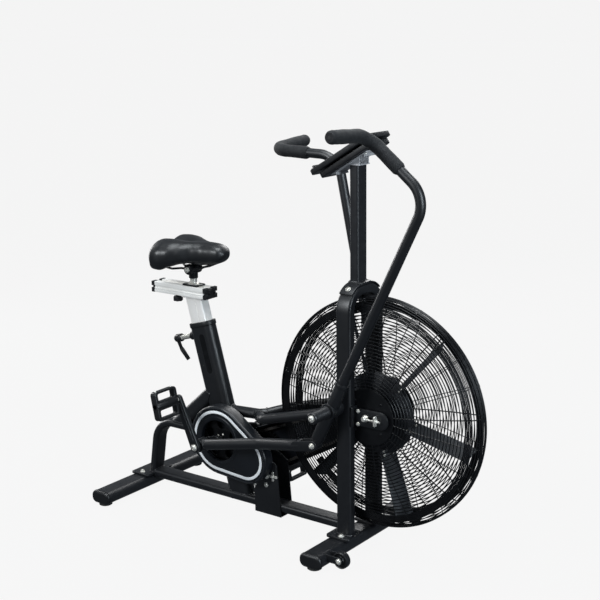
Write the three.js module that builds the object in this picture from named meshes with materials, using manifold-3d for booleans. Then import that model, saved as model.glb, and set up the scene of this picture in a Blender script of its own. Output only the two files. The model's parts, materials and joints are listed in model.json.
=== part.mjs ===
// Air bike: an exercise bike whose pedals and swinging handles drive a caged fan.
// Millimetres, +Z up, +X towards the fan, +Y to the rider's left.
// Lengths along X are measured from the fan's axle, heights from the floor. The last
// lines move the whole bike so that its origin is at the bottom centre of its box.
import * as THREE from 'three';
import { mergeVertices } from 'three/addons/utils/BufferGeometryUtils.js';
import Module from 'manifold-3d';

// ---- driving dimensions -------------------------------------------------
const GAP = 0.3;                     // clearance between pieces that touch
const RIGHT = -1;                    // the chain side, at -Y
const LEFT = 1;

const BEAM = { rear: -877, front: -112, z: 51.5, width: 54, height: 27, wall: 3 };
const STABILIZER = { width: 74, height: 40, z: 29, half: 236, wall: 3, capLength: 12 };
const REAR_X = -914;                 // rear stabilizer's centre
const FRONT_X = -75;                 // front stabilizer's centre
const FOOT = { y: 222, radius: 22, height: 8.7 };
const WHEEL = { x: 2, y: 196, z: 37, radius: 26, width: 20, bore: 5 };

const FAN_Z = 425;
const CAGE = { radius: 345, rim: 24, face: 58, hub: 84, plate: 3, wire: 5 };
const ROTOR = { hub: 122, low: -44, high: 24, tip: 318 };
const BLADE = { count: 6, width: 54, thick: 3, tilt: 28, y: -6.5, first: 12.4 };
const LEG = { x: -67, y: 74, along: 50, across: 30, wall: 3, bottom: 56.4, top: 785, bend: 58 };

const CRANK = { x: -558, z: 244, throw: 38, throwAngle: 194, length: 171, pedalAngle: 126.5 };
const JACK = { x: -451, z: 205 };
const FIRST_CHAIN_Y = -48;           // crank sprocket to jackshaft
const SECOND_CHAIN_Y = 46;           // jackshaft to fan
const SPROCKET = { crank: 84, jackSmall: 28, jackLarge: 60, fan: 30, width: 5 };
const CHAIN = { height: 9, width: 7, clearance: 1.4 };
const WEB = { inner: 73, outer: 84, hub: 20, pin: 17 };
const ARM = { inner: 126, outer: 141, pin: 17, pedal: 13 };
const PEDAL = { inner: 146, length: 96, width: 92, thick: 24, tilt: 78, pin: 6 };
const COVER = { big: 112, small: 81, face: -69, open: -35.3, back: -32, window: 66, wall: 3 };
const GUARD = { jack: 76, fan: 48, face: 57, open: 36, wall: 2.5 };
const BRACKET = { rear: -444, front: -342, below: 14, thick: 4 };

const SEAT = { x: -668, top: 600, tilt: 15.5, along: 88, across: 50, wall: 3 };
const POST = { along: 62, across: 38, out: 82, inside: 200 };
const RAIL = { x: -741.5, length: 203, z: 698.5, width: 56, height: 34, cap: 13 };
const SADDLE = { clampX: -700, noseX: -556, rearX: -812, low: 786, high: 850, half: 112 };
const SKIRT = { low: 755, front: -722, toe: -772 };   // the saddle's deep rear end
const CLAMP_DEPTH = 38;              // the clamp screw's height below the seat tube's mouth
const SIDE_RAIL = { y: 73.4, radius: 15.5, bend: 24 };
const STRUT = { width: 54, thick: 24, x: -862, z: 241, bend: 78 };

const LEVER = { pivotX: -83, pivotZ: 449, y: 126, rise: 708, backX: -237, backZ: 763, endY: 306 };
const LEVER_LOW = 128;               // pivot to push-rod bolt
const LEVER_LEAN = { [RIGHT]: 26.1, [LEFT]: -11.9 };
const LEVER_TUBE = { radius: 14.5, socket: 19, hub: 24, bore: 12, half: 19.5 };
const LEVER_BENDS = [78, 55];
const GRIP = { radius: 19, start: 0.44 };   // start: share of the upper run left bare
const PEG = { radius: 17.5, flange: 22, end: 220 };
const ROD = { rearY: 105, radius: 17.5, boss: 21, bossHalf: 17.5, bend: 60 };
const ROD_JOG = { from: -225, to: -86, end: -52 };   // where it steps outwards, from its front bolt
const ROD_FORK = { inner: 11.6, outer: 17, root: -66, rootRadius: 15, tipRadius: 15.5, bolt: 6 };

const CONSOLE = { x: -104, z: 1177, slope: 31.3, length: 222, width: 130 };
const CONSOLE_POST = { x: -72, along: 30, across: 48, bottom: 807, top: 1140 };

// ---- materials ------------------------------------------------------------
const finish = (color, roughness, metalness) =>
  new THREE.MeshStandardMaterial({ color, roughness, metalness });
const BLACK_PAINT = finish(0x17181b, 0.42, 0.3);
const BLACK_PLASTIC = finish(0x111214, 0.55, 0);
const BLACK_STEEL = finish(0x1b1c1f, 0.4, 0.6);
const SILVER = finish(0xe2ddd6, 0.35, 0.9);
const ZINC = finish(0xb8b8b4, 0.3, 0.9);
const RUBBER = finish(0x141414, 0.85, 0);
const LEATHER = finish(0x1a1a1c, 0.45, 0);
const FOAM = finish(0x2b2b2e, 0.9, 0);
const SCREEN = finish(0x4a5550, 0.2, 0);

// ---- solid modelling helpers ----------------------------------------------
const wasm = await Module();
wasm.setup();

const rad = THREE.MathUtils.degToRad;
const v3 = (x, y, z) => new THREE.Vector3(x, y, z);
const v2 = (x, y) => new THREE.Vector2(x, y);

// A geometry's closed surface as a solid that can be joined and cut.
function solid(geometry) {
  const bare = geometry.index ? geometry.toNonIndexed() : geometry.clone();
  bare.deleteAttribute('normal');
  bare.deleteAttribute('uv');
  const merged = mergeVertices(bare, 1e-4);
  return new wasm.Manifold(new wasm.Mesh({
    numProp: 3,
    vertProperties: new Float32Array(merged.attributes.position.array),
    triVerts: new Uint32Array(merged.index.array),
  }));
}

function surface(body) {
  const out = body.getMesh();
  const geometry = new THREE.BufferGeometry();
  geometry.setAttribute('position', new THREE.BufferAttribute(out.vertProperties, 3));
  geometry.setIndex(new THREE.BufferAttribute(out.triVerts, 1));
  return geometry;
}

const join = (...parts) => surface(parts.map(solid).reduce((all, next) => all.add(next)));
const cut = (part, ...tools) => (
  surface(tools.map(solid).reduce((rest, tool) => rest.subtract(tool), solid(part)))
);

// Local axes of a section: its x and y, and the direction it is extruded in.
const along = (x, y, z) => new THREE.Matrix4().makeBasis(x, y, z);
const ALONG_X = along(v3(0, 1, 0), v3(0, 0, 1), v3(1, 0, 0));   // section x = Y, y = Z
const ALONG_Y = along(v3(0, 0, 1), v3(1, 0, 0), v3(0, 1, 0));   // section x = Z, y = X

function place(geometry, x, y, z) {
  return geometry.translate(x, y, z);
}

function turnY(geometry, degrees, x = 0, z = 0) {
  return geometry.translate(-x, 0, -z).rotateY(rad(degrees)).translate(x, 0, z);
}

function prism(shape, depth, curveSegments = 6) {
  return new THREE.ExtrudeGeometry(shape, { depth, bevelEnabled: false, steps: 1, curveSegments });
}

function box(x0, x1, y0, y1, z0, z1) {
  const g = new THREE.BoxGeometry(x1 - x0, y1 - y0, z1 - z0);
  return g.translate((x0 + x1) / 2, (y0 + y1) / 2, (z0 + z1) / 2);
}

// A rectangle with round corners, centred on the section's origin.
function roundedRect(width, height, radius, Kind = THREE.Shape) {
  const w = width / 2;
  const h = height / 2;
  const s = new Kind();
  s.moveTo(w - radius, -h);
  s.absarc(w - radius, -h + radius, radius, -Math.PI / 2, 0, false);
  s.absarc(w - radius, h - radius, radius, 0, Math.PI / 2, false);
  s.absarc(-w + radius, h - radius, radius, Math.PI / 2, Math.PI, false);
  s.absarc(-w + radius, -h + radius, radius, Math.PI, 1.5 * Math.PI, false);
  s.closePath();
  return s;
}

function hollowRect(width, height, radius, wall) {
  const s = roundedRect(width, height, radius);
  s.holes.push(roundedRect(width - 2 * wall, height - 2 * wall, radius - wall, THREE.Path));
  return s;
}

// A disc or tube about the Y axis, between y0 and y1.
function discY(radius, y0, y1, bore = 0, segments = 20) {
  const profile = bore > 0
    ? [v2(bore, y0), v2(radius, y0), v2(radius, y1), v2(bore, y1), v2(bore, y0)]
    : [v2(0, y0), v2(radius, y0), v2(radius, y1), v2(0, y1)];
  return new THREE.LatheGeometry(profile, segments);
}

function discZ(radius, z0, z1, segments = 20) {
  return discY(radius, z0, z1, 0, segments).rotateX(Math.PI / 2);
}

const latheY = (points, segments) => new THREE.LatheGeometry(points.map(([r, y]) => v2(r, y)), segments);

// The outline of a belt round two pulleys in the XZ plane. As ALONG_Y wants, x = Z, y = X.
function beltOutline(a, radiusA, b, radiusB, Kind = THREE.Shape) {
  const distance = Math.hypot(b.x - a.x, b.z - a.z);
  const heading = Math.atan2(b.x - a.x, b.z - a.z);
  const lean = Math.acos((radiusA - radiusB) / distance);
  const s = new Kind();
  s.absarc(b.z, b.x, radiusB, heading - lean, heading + lean, false);
  s.absarc(a.z, a.x, radiusA, heading + lean, heading - lean + 2 * Math.PI, false);
  s.closePath();
  return s;
}

function slabY(shape, y0, y1, curveSegments) {
  return prism(shape, y1 - y0, curveSegments).applyMatrix4(ALONG_Y).translate(0, y0, 0);
}

// A tube's centre line: straight runs joined by bends, whose radii are one number or a list.
// Each run is one step long and each bend is several, so sections stand only where it turns.
class BentLine extends THREE.Curve {
  constructor(corners, radii, bendSteps = 5) {
    super();
    this.stations = [];
    const last = corners.length - 1;
    const heading = (i) => corners[i + 1].clone().sub(corners[i]).normalize();
    this.stations.push([corners[0], heading(0)]);
    for (let i = 1; i < last; i += 1) {
      const before = heading(i - 1);
      const after = heading(i);
      const angle = before.angleTo(after);
      const radius = Array.isArray(radii) ? radii[i - 1] : radii;
      const inward = after.clone().addScaledVector(before, -Math.cos(angle)).normalize();
      const start = corners[i].clone().addScaledVector(before, -radius * Math.tan(angle / 2));
      for (let k = 0; k <= bendSteps; k += 1) {
        const a = (angle * k) / bendSteps;
        const point = start.clone().addScaledVector(before, radius * Math.sin(a));
        point.addScaledVector(inward, radius * (1 - Math.cos(a)));
        const tangent = before.clone().multiplyScalar(Math.cos(a)).addScaledVector(inward, Math.sin(a));
        this.stations.push([point, tangent]);
      }
    }
    this.stations.push([corners[last], heading(last - 1)]);
  }

  get steps() {
    return this.stations.length - 1;
  }

  getPointAt(u) {
    return this.stations[Math.round(u * this.steps)][0].clone();
  }

  getTangentAt(u) {
    return this.stations[Math.round(u * this.steps)][1].clone();
  }
}

function sweep(shape, corners, radius = 1, bendSteps = 5, curveSegments = 3) {
  const line = new BentLine(corners, radius, bendSteps);
  return new THREE.ExtrudeGeometry(shape, { extrudePath: line, steps: line.steps, curveSegments });
}

// A round section with the given number of sides, and one with a bore.
function circle(radius, sides = 12, Kind = THREE.Shape) {
  const angles = Array.from({ length: sides }, (_, k) => (2 * Math.PI * k) / sides);
  return new Kind(angles.map((a) => v2(radius * Math.cos(a), radius * Math.sin(a))));
}

function pipe(radius, wall, sides = 12) {
  const s = circle(radius, sides);
  s.holes.push(circle(radius - wall, sides, THREE.Path));
  return s;
}

const bike = new THREE.Group();

function add(name, geometry, material) {
  const flat = geometry.index ? geometry.toNonIndexed() : geometry;
  flat.computeVertexNormals();
  const mesh = new THREE.Mesh(flat, material);
  mesh.name = name;
  bike.add(mesh);
  return mesh;
}

const sideName = (side) => (side === RIGHT ? 'right' : 'left');
const span = (side, inner, outer) => (side === RIGHT ? [-outer, -inner] : [inner, outer]);

// ---- base frame -----------------------------------------------------------
function addBase() {
  const beamSection = hollowRect(BEAM.width, BEAM.height, 11, BEAM.wall);
  const beam = prism(beamSection, BEAM.front - BEAM.rear - 2 * GAP, 3);
  add('main_beam', beam.applyMatrix4(ALONG_X).translate(BEAM.rear + GAP, 0, BEAM.z), BLACK_PAINT);

  for (const [name, x] of [['rear', REAR_X], ['front', FRONT_X]]) {
    const section = hollowRect(STABILIZER.height, STABILIZER.width, 18, STABILIZER.wall);
    let tube = prism(section, 2 * STABILIZER.half, 3).applyMatrix4(ALONG_Y);
    tube = place(tube, x, -STABILIZER.half, STABILIZER.z);
    if (name === 'front') tube = join(tube, ...wheelForks());
    add(`${name}_stabilizer`, tube, BLACK_PAINT);
    for (const side of [RIGHT, LEFT]) {
      add(`${name}_cap_${sideName(side)}`, stabilizerCap(x, side), BLACK_PLASTIC);
      const { radius, height, y } = FOOT;
      const foot = latheY([[0, 0], [radius, 0], [radius, 5], [radius - 3, height], [0, height]], 14);
      add(`${name}_foot_${sideName(side)}`, place(foot.rotateX(Math.PI / 2), x, side * y, 0), RUBBER);
    }
  }
}

// A domed plastic cap whose plug fills the tube's end.
function stabilizerCap(x, side) {
  const { width, height, half, wall, capLength } = STABILIZER;
  const layer = (w, h, r, y0, y1) => {
    const slab = prism(roundedRect(h, w, r), y1 - y0, 2).applyMatrix4(ALONG_Y);
    return slab.translate(x, y0, STABILIZER.z);
  };
  const plugRoom = 2 * wall + 2;
  const [p0, p1] = span(side, half - 20, half + 1);
  const [a0, a1] = span(side, half + GAP, half + capLength - 5);
  const [b0, b1] = span(side, half + GAP, half + capLength);
  return join(
    layer(width - plugRoom, height - plugRoom, 14, p0, p1),
    layer(width, height, 18, a0, a1),
    layer(width - 10, height - 10, 13, b0, b1),
  );
}

// Two ears on each side of the front stabilizer, for a transport wheel.
function wheelForks() {
  const ears = [];
  for (const side of [RIGHT, LEFT]) {
    for (const offset of [-WHEEL.width / 2 - 6, WHEEL.width / 2 + 2]) {
      const y = side * WHEEL.y + offset;
      const back = FRONT_X + STABILIZER.width / 2 - 4;
      const arm = box(back, WHEEL.x, y, y + 4, WHEEL.z - 11, WHEEL.z + 11);
      const tip = place(discY(11, y, y + 4, 0, 12), WHEEL.x, 0, WHEEL.z);
      ears.push(cut(join(arm, tip), place(discY(WHEEL.bore, y - 1, y + 5, 0, 8), WHEEL.x, 0, WHEEL.z)));
    }
  }
  return ears;
}

function addWheels() {
  for (const side of [RIGHT, LEFT]) {
    const half = WHEEL.width / 2;
    const pin = half + 8;
    const profile = [
      [0, -pin], [WHEEL.bore - 0.4, -pin], [WHEEL.bore - 0.4, -half], [WHEEL.radius - 3, -half],
      [WHEEL.radius, -half + 3], [WHEEL.radius, half - 3], [WHEEL.radius - 3, half],
      [WHEEL.bore - 0.4, half], [WHEEL.bore - 0.4, pin], [0, pin],
    ];
    const wheel = place(latheY(profile, 14), WHEEL.x, side * WHEEL.y, WHEEL.z);
    add(`transport_wheel_${sideName(side)}`, wheel, BLACK_PLASTIC);
  }
}

// ---- seat tube, braces and rails --------------------------------------------
const seatAxis = v3(-Math.sin(rad(SEAT.tilt)), 0, Math.cos(rad(SEAT.tilt)));
const seatAcross = seatAxis.clone().cross(v3(0, 1, 0));
const seatTop = v3(SEAT.x, 0, SEAT.top);
const onSeatAxis = (fromTop) => seatTop.clone().addScaledVector(seatAxis, fromTop);

// A straight piece along the seat tube's axis, between two distances from its top.
function alongSeat(shape, from, to, curveSegments = 1) {
  const start = onSeatAxis(from);
  const g = prism(shape, to - from, curveSegments);
  g.applyMatrix4(along(v3(0, 1, 0), seatAcross, seatAxis));
  return g.translate(start.x, 0, start.z);
}

function addSeatTube() {
  const shellRadius = 24;
  const beamTop = BEAM.z + BEAM.height / 2;
  const corner = 23;
  const belowBeam = box(-700, -400, -60, 60, -60, beamTop + GAP);
  const hole = place(discY(shellRadius - 1, -40, 40, 0, 12), CRANK.x, 0, CRANK.z);
  const shell = place(discY(shellRadius, -26.5, 26.5, 11, 12), CRANK.x, 0, CRANK.z);
  const tube = alongSeat(hollowRect(SEAT.across, SEAT.along, corner, SEAT.wall), -575, 0, 3);
  const fitted = alongSeat(roundedRect(SEAT.across - 1, SEAT.along - 1, corner - 0.5), -560, 60, 3);
  const upper = cut(sweep(pipe(17, 3, 8), [v3(-600, 0, 325), v3(-440, 0, 335)]), fitted);
  const mast = cut(join(tube, upper), belowBeam, hole);
  add('seat_tube', join(mast, shell, guideCollar(), clampBoss()), BLACK_PAINT);

  const room = roundedRect(SEAT.across + 2 * GAP, SEAT.along + 2 * GAP, corner + GAP);
  const clear = alongSeat(room, -560, 60, 3);
  const brace = sweep(roundedRect(56, 50, 14), [v3(-792, 0, 228), v3(-606, 0, 392)], 1, 1, 1);
  const stabTop = STABILIZER.z + STABILIZER.height / 2;
  const legLine = [v3(-891, 0, stabTop + 3), v3(STRUT.x, 0, STRUT.z), v3(-600, 0, STRUT.z)];
  const leg = sweep(roundedRect(STRUT.width, STRUT.thick, 11), legLine, STRUT.bend, 4, 1);
  const footPlate = box(REAR_X - 37, BEAM.rear - GAP, -62, 62, stabTop + GAP, stabTop + 7);
  const underLeg = box(-900, -700, -40, 40, 100, 235);
  add('rear_leg', cut(join(leg, footPlate, cut(brace, underLeg)), clear), BLACK_PAINT);

  const legBack = LEG.x - LEG.along / 2 - GAP;
  for (const side of [RIGHT, LEFT]) {
    const y = side * SIDE_RAIL.y;
    const route = [v3(-446, side * 4, 335), v3(-428, side * 18, 336), v3(-376, y, 350), v3(-80, y, 433)];
    const rail = sweep(circle(SIDE_RAIL.radius, 8), route, SIDE_RAIL.bend, 3);
    const [o0, o1] = span(-side, -GAP, 60);
    const beyond = box(legBack, 0, -120, 120, 300, 500);
    const behind = box(-500, -438, -60, 60, 280, 400);
    const otherSide = box(-500, -300, o0, o1, 280, 400);
    add(`side_rail_${sideName(side)}`, cut(rail, otherSide, behind, beyond), BLACK_PAINT);
  }
}

// A collar inside the tube's mouth, in which the seat post slides.
function guideCollar() {
  const shape = roundedRect(SEAT.across - 2 * SEAT.wall + 1, SEAT.along - 2 * SEAT.wall + 1, 20);
  shape.holes.push(roundedRect(POST.across + 2 * GAP, POST.along + 2 * GAP, 5, THREE.Path));
  return alongSeat(shape, -60, -2, 2);
}

// ---- front frame and console post -------------------------------------------
function addFrontFrame() {
  const section = hollowRect(LEG.across, LEG.along, 9, LEG.wall);
  const corners = [
    v3(LEG.x, -LEG.y, LEG.bottom), v3(LEG.x, -LEG.y, LEG.top),
    v3(LEG.x, LEG.y, LEG.top), v3(LEG.x, LEG.y, LEG.bottom),
  ];
  const arch = sweep(section, corners, LEG.bend, 4, 1);
  const stabTop = STABILIZER.z + STABILIZER.height / 2;
  const plates = [RIGHT, LEFT].map((side) => {
    const [y0, y1] = span(side, LEG.y - 40, LEG.y + 40);
    return box(LEG.x - 46, LEG.x + 36, y0, y1, stabTop + GAP, LEG.bottom + 2);
  });
  const vent = (y) => box(LEG.x - 8, LEG.x + 8, y - 5, y + 5, 40, 70);
  const vents = [RIGHT, LEFT].map((side) => vent(side * LEG.y));
  add('front_arch', cut(join(arch, ...plates), ...vents), BLACK_PAINT);

  const archTop = LEG.top + LEG.across / 2;
  const { x, along: deep, across, bottom, top } = CONSOLE_POST;
  const tube = prism(hollowRect(deep, across, 7, 2.5), top - bottom + 1, 1).translate(x, 0, bottom - 1);
  const saddle = box(LEG.x - 24, LEG.x + 24, -42, 42, archTop + GAP, bottom);
  add('console_post', join(tube, saddle), BLACK_PAINT);
}

// ---- console ------------------------------------------------------------------
// Built level with its face at z = 0 and its length along X, then sloped towards the rider.
function slopeConsole(geometry) {
  return geometry.rotateY(-rad(CONSOLE.slope)).translate(CONSOLE.x, 0, CONSOLE.z);
}

function addConsole() {
  const { length, width } = CONSOLE;
  const keyCount = 2;
  const keyPitch = 40;
  const keyX = -length / 2 + 38;
  const keyHole = (k) => place(discZ(8 + GAP, -20, 5, 12), keyX, (k - 0.5) * keyPitch, 0);
  const screenHole = box(-40, 80, -52, 52, -4, 2);
  const face = place(prism(roundedRect(length, width, 14), 15, 2), 0, 0, -15);
  const ledge = box(-length / 2 - 2, -length / 2 + 8, -40, 40, -8, 13);
  const holes = Array.from({ length: keyCount }, (_, k) => keyHole(k));
  add('console_face', slopeConsole(cut(join(face, ledge), screenHole, ...holes)), BLACK_PLASTIC);
  const lens = box(-40 + GAP, 80 - GAP, -52 + GAP, 52 - GAP, -4 + GAP, -0.8);
  add('console_lens', slopeConsole(lens), SCREEN);
  for (let k = 0; k < keyCount; k += 1) {
    const key = place(discZ(8, -8, 2.5, 12), keyX, (k - 0.5) * keyPitch, 0);
    add(`console_key_${k + 1}`, slopeConsole(key), BLACK_PLASTIC);
  }
  const shell = place(prism(roundedRect(length - 26, width - 22, 12), 16, 2), 6, 0, -35);
  const keyRoom = box(keyX - 11, keyX + 11, -keyPitch - 11, keyPitch + 11, -26, -10);
  const neck = place(prism(roundedRect(length - 60, width - 50, 8), 4.2, 1), 10, 0, -19.5);
  add('console_case', slopeConsole(cut(join(shell, neck), keyRoom)), BLACK_PLASTIC);

  const mount = slopeConsole(box(-70, 74, -34, 34, -39, -35 - GAP));
  const { x, along: deep, across, top } = CONSOLE_POST;
  const plug = box(x - deep / 2 + 5, x + deep / 2 - 5, -across / 2 + 5, across / 2 - 5, top - 40, top + 2);
  const plate = box(x - 22, x + 22, -28, 28, top + GAP, top + 4);
  const web = box(x - 18, x + 20, -3, 3, top + 2, top + 30);
  const below = slopeConsole(box(-160, 160, -100, 100, -35 - GAP, 120));
  add('console_bracket', cut(join(mount, plug, plate, web), below), SILVER);
}

// ---- pedal drive ------------------------------------------------------------------
const crankAxis = v3(CRANK.x, 0, CRANK.z);
const atAngle = (radius, degrees) => {
  const a = rad(degrees);
  return v3(radius * Math.cos(a), 0, radius * Math.sin(a));
};
const phase = (side) => (side === LEFT ? 180 : 0);
const crankPin = (side) => crankAxis.clone().add(atAngle(CRANK.throw, CRANK.throwAngle + phase(side)));
const pedalAxis = (side) => crankAxis.clone().add(atAngle(CRANK.length, CRANK.pedalAngle + phase(side)));

// A flat link in the XZ plane between two round ends.
function link(a, radiusA, b, radiusB, y0, y1, curveSegments = 8) {
  return slabY(beltOutline(a, radiusA, b, radiusB), y0, y1, curveSegments);
}

function addCranks() {
  const webs = [RIGHT, LEFT].map((side) => {
    const [y0, y1] = span(side, WEB.inner, WEB.outer);
    return link(crankAxis, WEB.hub, crankPin(side), WEB.pin, y0, y1);
  });
  const spindle = place(discY(10.6, -WEB.inner - 2, WEB.inner + 2, 0, 16), CRANK.x, 0, CRANK.z);
  add('crank_axle', join(spindle, ...webs), BLACK_STEEL);

  const y0 = FIRST_CHAIN_Y - SPROCKET.width / 2;
  const bore = 10.6 + GAP;
  const wheel = discY(SPROCKET.crank, y0, y0 + SPROCKET.width, bore, 24);
  const windows = Array.from({ length: 5 }, (_, k) => {
    const hole = atAngle(50, 90 + 72 * k);
    return place(discY(17, y0 - 1, y0 + SPROCKET.width + 1, 0, 8), hole.x, 0, hole.z);
  });
  add('crank_sprocket', place(cut(wheel, ...windows), CRANK.x, 0, CRANK.z), BLACK_STEEL);

  for (const side of [RIGHT, LEFT]) {
    const pin = crankPin(side);
    const pedal = pedalAxis(side);
    const [a0, a1] = span(side, ARM.inner, ARM.outer);
    const [s0, s1] = span(side, ARM.outer - 2, PEDAL.inner + PEDAL.length - 6);
    const arm = link(pin, ARM.pin, pedal, ARM.pedal, a0, a1);
    const pedalPin = place(discY(PEDAL.pin, s0, s1, 0, 12), pedal.x, 0, pedal.z);
    add(`crank_arm_${sideName(side)}`, join(arm, pedalPin), BLACK_PAINT);
    add(`pedal_${sideName(side)}`, pedalBody(side), BLACK_PLASTIC);
  }
}

// An open cage pedal round a spindle housing, turned to the angle it hangs at.
function pedalBody(side) {
  const { x, z } = pedalAxis(side);
  const { inner, length, width, thick, tilt } = PEDAL;
  const frame = roundedRect(width, length, 12);
  for (const sign of [-1, 1]) {
    const window = roundedRect(width / 2 - 22, length - 24, 5, THREE.Path).getPoints(1);
    frame.holes.push(new THREE.Path(window.map((p) => v2(p.x + sign * (width / 4 + 3), p.y))));
  }
  const [y0, y1] = span(side, inner, inner + length);
  const plate = prism(frame, thick, 2).translate(0, (y0 + y1) / 2, -thick / 2);
  const hub = discY(14, y0 + 1, y1 - 1, 0, 12);
  const bore = discY(PEDAL.pin + 2 * GAP, y0 - 5, y1 + 5, 0, 10);
  return place(cut(join(plate, hub), bore).rotateY(rad(tilt)), x, 0, z);
}

function addJackshaft() {
  const half = SPROCKET.width / 2;
  const sprockets = [[SPROCKET.jackSmall, FIRST_CHAIN_Y], [SPROCKET.jackLarge, SECOND_CHAIN_Y]];
  const wheels = sprockets.map(([radius, y]) => discY(radius, y - half, y + half, 0, 20));
  const shaft = join(discY(8, -62, 56, 0, 12), discY(13, -44, -35.5, 0, 12), ...wheels);
  add('jackshaft', place(shaft, JACK.x, 0, JACK.z), BLACK_STEEL);
  // Side plates that carry the jackshaft, folded under the beam.
  const { rear, front, below, thick } = BRACKET;
  const low = BEAM.z - BEAM.height / 2 - below;
  const outline = new THREE.Shape([
    v2(low, rear), v2(low, front), v2(193, -357), v2(232, -424), v2(246, -478), v2(110, -478), v2(110, rear),
  ]);
  const inner = BEAM.width / 2 + GAP;
  const outer = inner + thick;
  const plates = [RIGHT, LEFT].map((side) => slabY(outline, ...span(side, inner, outer), 1));
  const floor = box(rear, front, -outer, outer, low, low + thick);
  const bore = place(discY(8.6, -60, 60, 0, 12), JACK.x, 0, JACK.z);
  add('drive_bracket', cut(join(...plates, floor), bore), BLACK_PAINT);
}

function chainLoop(a, radiusA, b, radiusB, y) {
  const { height, clearance } = CHAIN;
  const outer = beltOutline(a, radiusA + clearance + height, b, radiusB + clearance + height);
  outer.holes.push(beltOutline(a, radiusA + clearance, b, radiusB + clearance, THREE.Path));
  return slabY(outer, y - CHAIN.width / 2, y + CHAIN.width / 2, 6);
}

const fanAxis = v3(0, 0, FAN_Z);

function addChains() {
  const jack = v3(JACK.x, 0, JACK.z);
  const first = chainLoop(crankAxis, SPROCKET.crank, jack, SPROCKET.jackSmall, FIRST_CHAIN_Y);
  const second = chainLoop(jack, SPROCKET.jackLarge, fanAxis, SPROCKET.fan, SECOND_CHAIN_Y);
  add('first_chain', first, BLACK_STEEL);
  add('second_chain', second, BLACK_STEEL);
}

// A shallow tray round two pulleys: a face plate with a rim that stands towards the bike.
function tray(a, radiusA, b, radiusB, face, open, wall) {
  const toward = Math.sign(open - face);
  const [y0, y1] = [Math.min(face, open), Math.max(face, open)];
  const [i0, i1] = toward > 0 ? [face + wall, open + 5] : [open - 5, face - wall];
  const shell = slabY(beltOutline(a, radiusA, b, radiusB), y0, y1, 7);
  return cut(shell, slabY(beltOutline(a, radiusA - wall, b, radiusB - wall), i0, i1, 7));
}

function addCovers() {
  const jack = v3(JACK.x, 0, JACK.z);
  const window = place(discY(COVER.window, -80, -50, 0, 24), CRANK.x, 0, CRANK.z);
  const outer = tray(crankAxis, COVER.big, jack, COVER.small, COVER.face, COVER.open, COVER.wall);
  const axleRoom = (...axes) => axes.map((p) => place(discY(14, -90, 90, 0, 14), p.x, 0, p.z));
  add('drive_cover_outer', cut(outer, window), BLACK_PLASTIC);
  const back = slabY(beltOutline(crankAxis, COVER.big, jack, COVER.small), COVER.open + GAP, COVER.back, 7);
  add('drive_cover_inner', cut(back, ...axleRoom(CRANK, JACK)), BLACK_PLASTIC);
  const guard = tray(jack, GUARD.jack, fanAxis, GUARD.fan, GUARD.face, GUARD.open, GUARD.wall);
  add('fan_chain_guard', cut(guard, ...axleRoom(JACK, fanAxis)), BLACK_PLASTIC);
}

// ---- fan and cage ------------------------------------------------------------------
// How far the cage's domed face stands from the middle plane at a given radius.
function domeHeight(radius) {
  const t = Math.min(1, Math.max(0, (radius - CAGE.hub) / (CAGE.radius - CAGE.hub)));
  return CAGE.rim + (CAGE.face - CAGE.rim) * Math.cos((t * Math.PI) / 2) ** 0.8;
}

function addCage() {
  const { radius, rim, face, hub, plate, wire } = CAGE;
  const sides = 28;
  const ring = (r, width) => {
    const y = domeHeight(r) - wire;
    return latheY([[r - width, y], [r, y], [r, y + wire], [r - width, y + wire], [r - width, y]], sides);
  };
  const rimBand = latheY([
    [radius - 4, GAP / 2], [radius, GAP / 2], [radius, rim - 6], [radius - 8, rim],
    [radius - 22, rim], [radius - 22, rim - 4], [radius - 4, rim - 6], [radius - 4, GAP / 2],
  ], sides);
  const cap = discY(hub, face - plate, face, 0, 20);
  const spokes = Array.from({ length: 8 }, (_, k) => {
    const stations = [hub - 6, 170, 260, radius - 12];
    const top = stations.map((r) => v2(r, domeHeight(Math.max(r, hub)) - 0.4));
    const low = stations.map((r) => v2(r, domeHeight(Math.max(r, hub)) - wire)).reverse();
    const bar = prism(new THREE.Shape([...top, ...low]), wire).translate(0, 0, -wire / 2);
    return bar.rotateY(rad(22.5 + 45 * k));
  });
  const rings = [170, 260].map((r) => ring(r, wire));
  const half = join(rimBand, cap, ...rings, ...spokes);
  const axleHole = discY(9, 0, 90, 0, 12);
  for (const side of [RIGHT, LEFT]) {
    const tools = [axleHole.clone()];
    let shell = half.clone();
    if (side === LEFT) {
      const belt = beltOutline(v3(JACK.x, 0, JACK.z - FAN_Z), 80, v3(0, 0, 0), 52);
      tools.push(slabY(belt, 33, 59));
      tools.push(slabY(beltOutline(v3(JACK.x, 0, JACK.z - FAN_Z), 80, v3(-250, 0, -120), 66), 19, 60));
    } else {
      shell = shell.rotateX(Math.PI);
      tools[0].rotateX(Math.PI);
    }
    add(`cage_${sideName(side)}`, place(cut(shell, ...tools), 0, 0, FAN_Z), BLACK_STEEL);
  }
}

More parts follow.
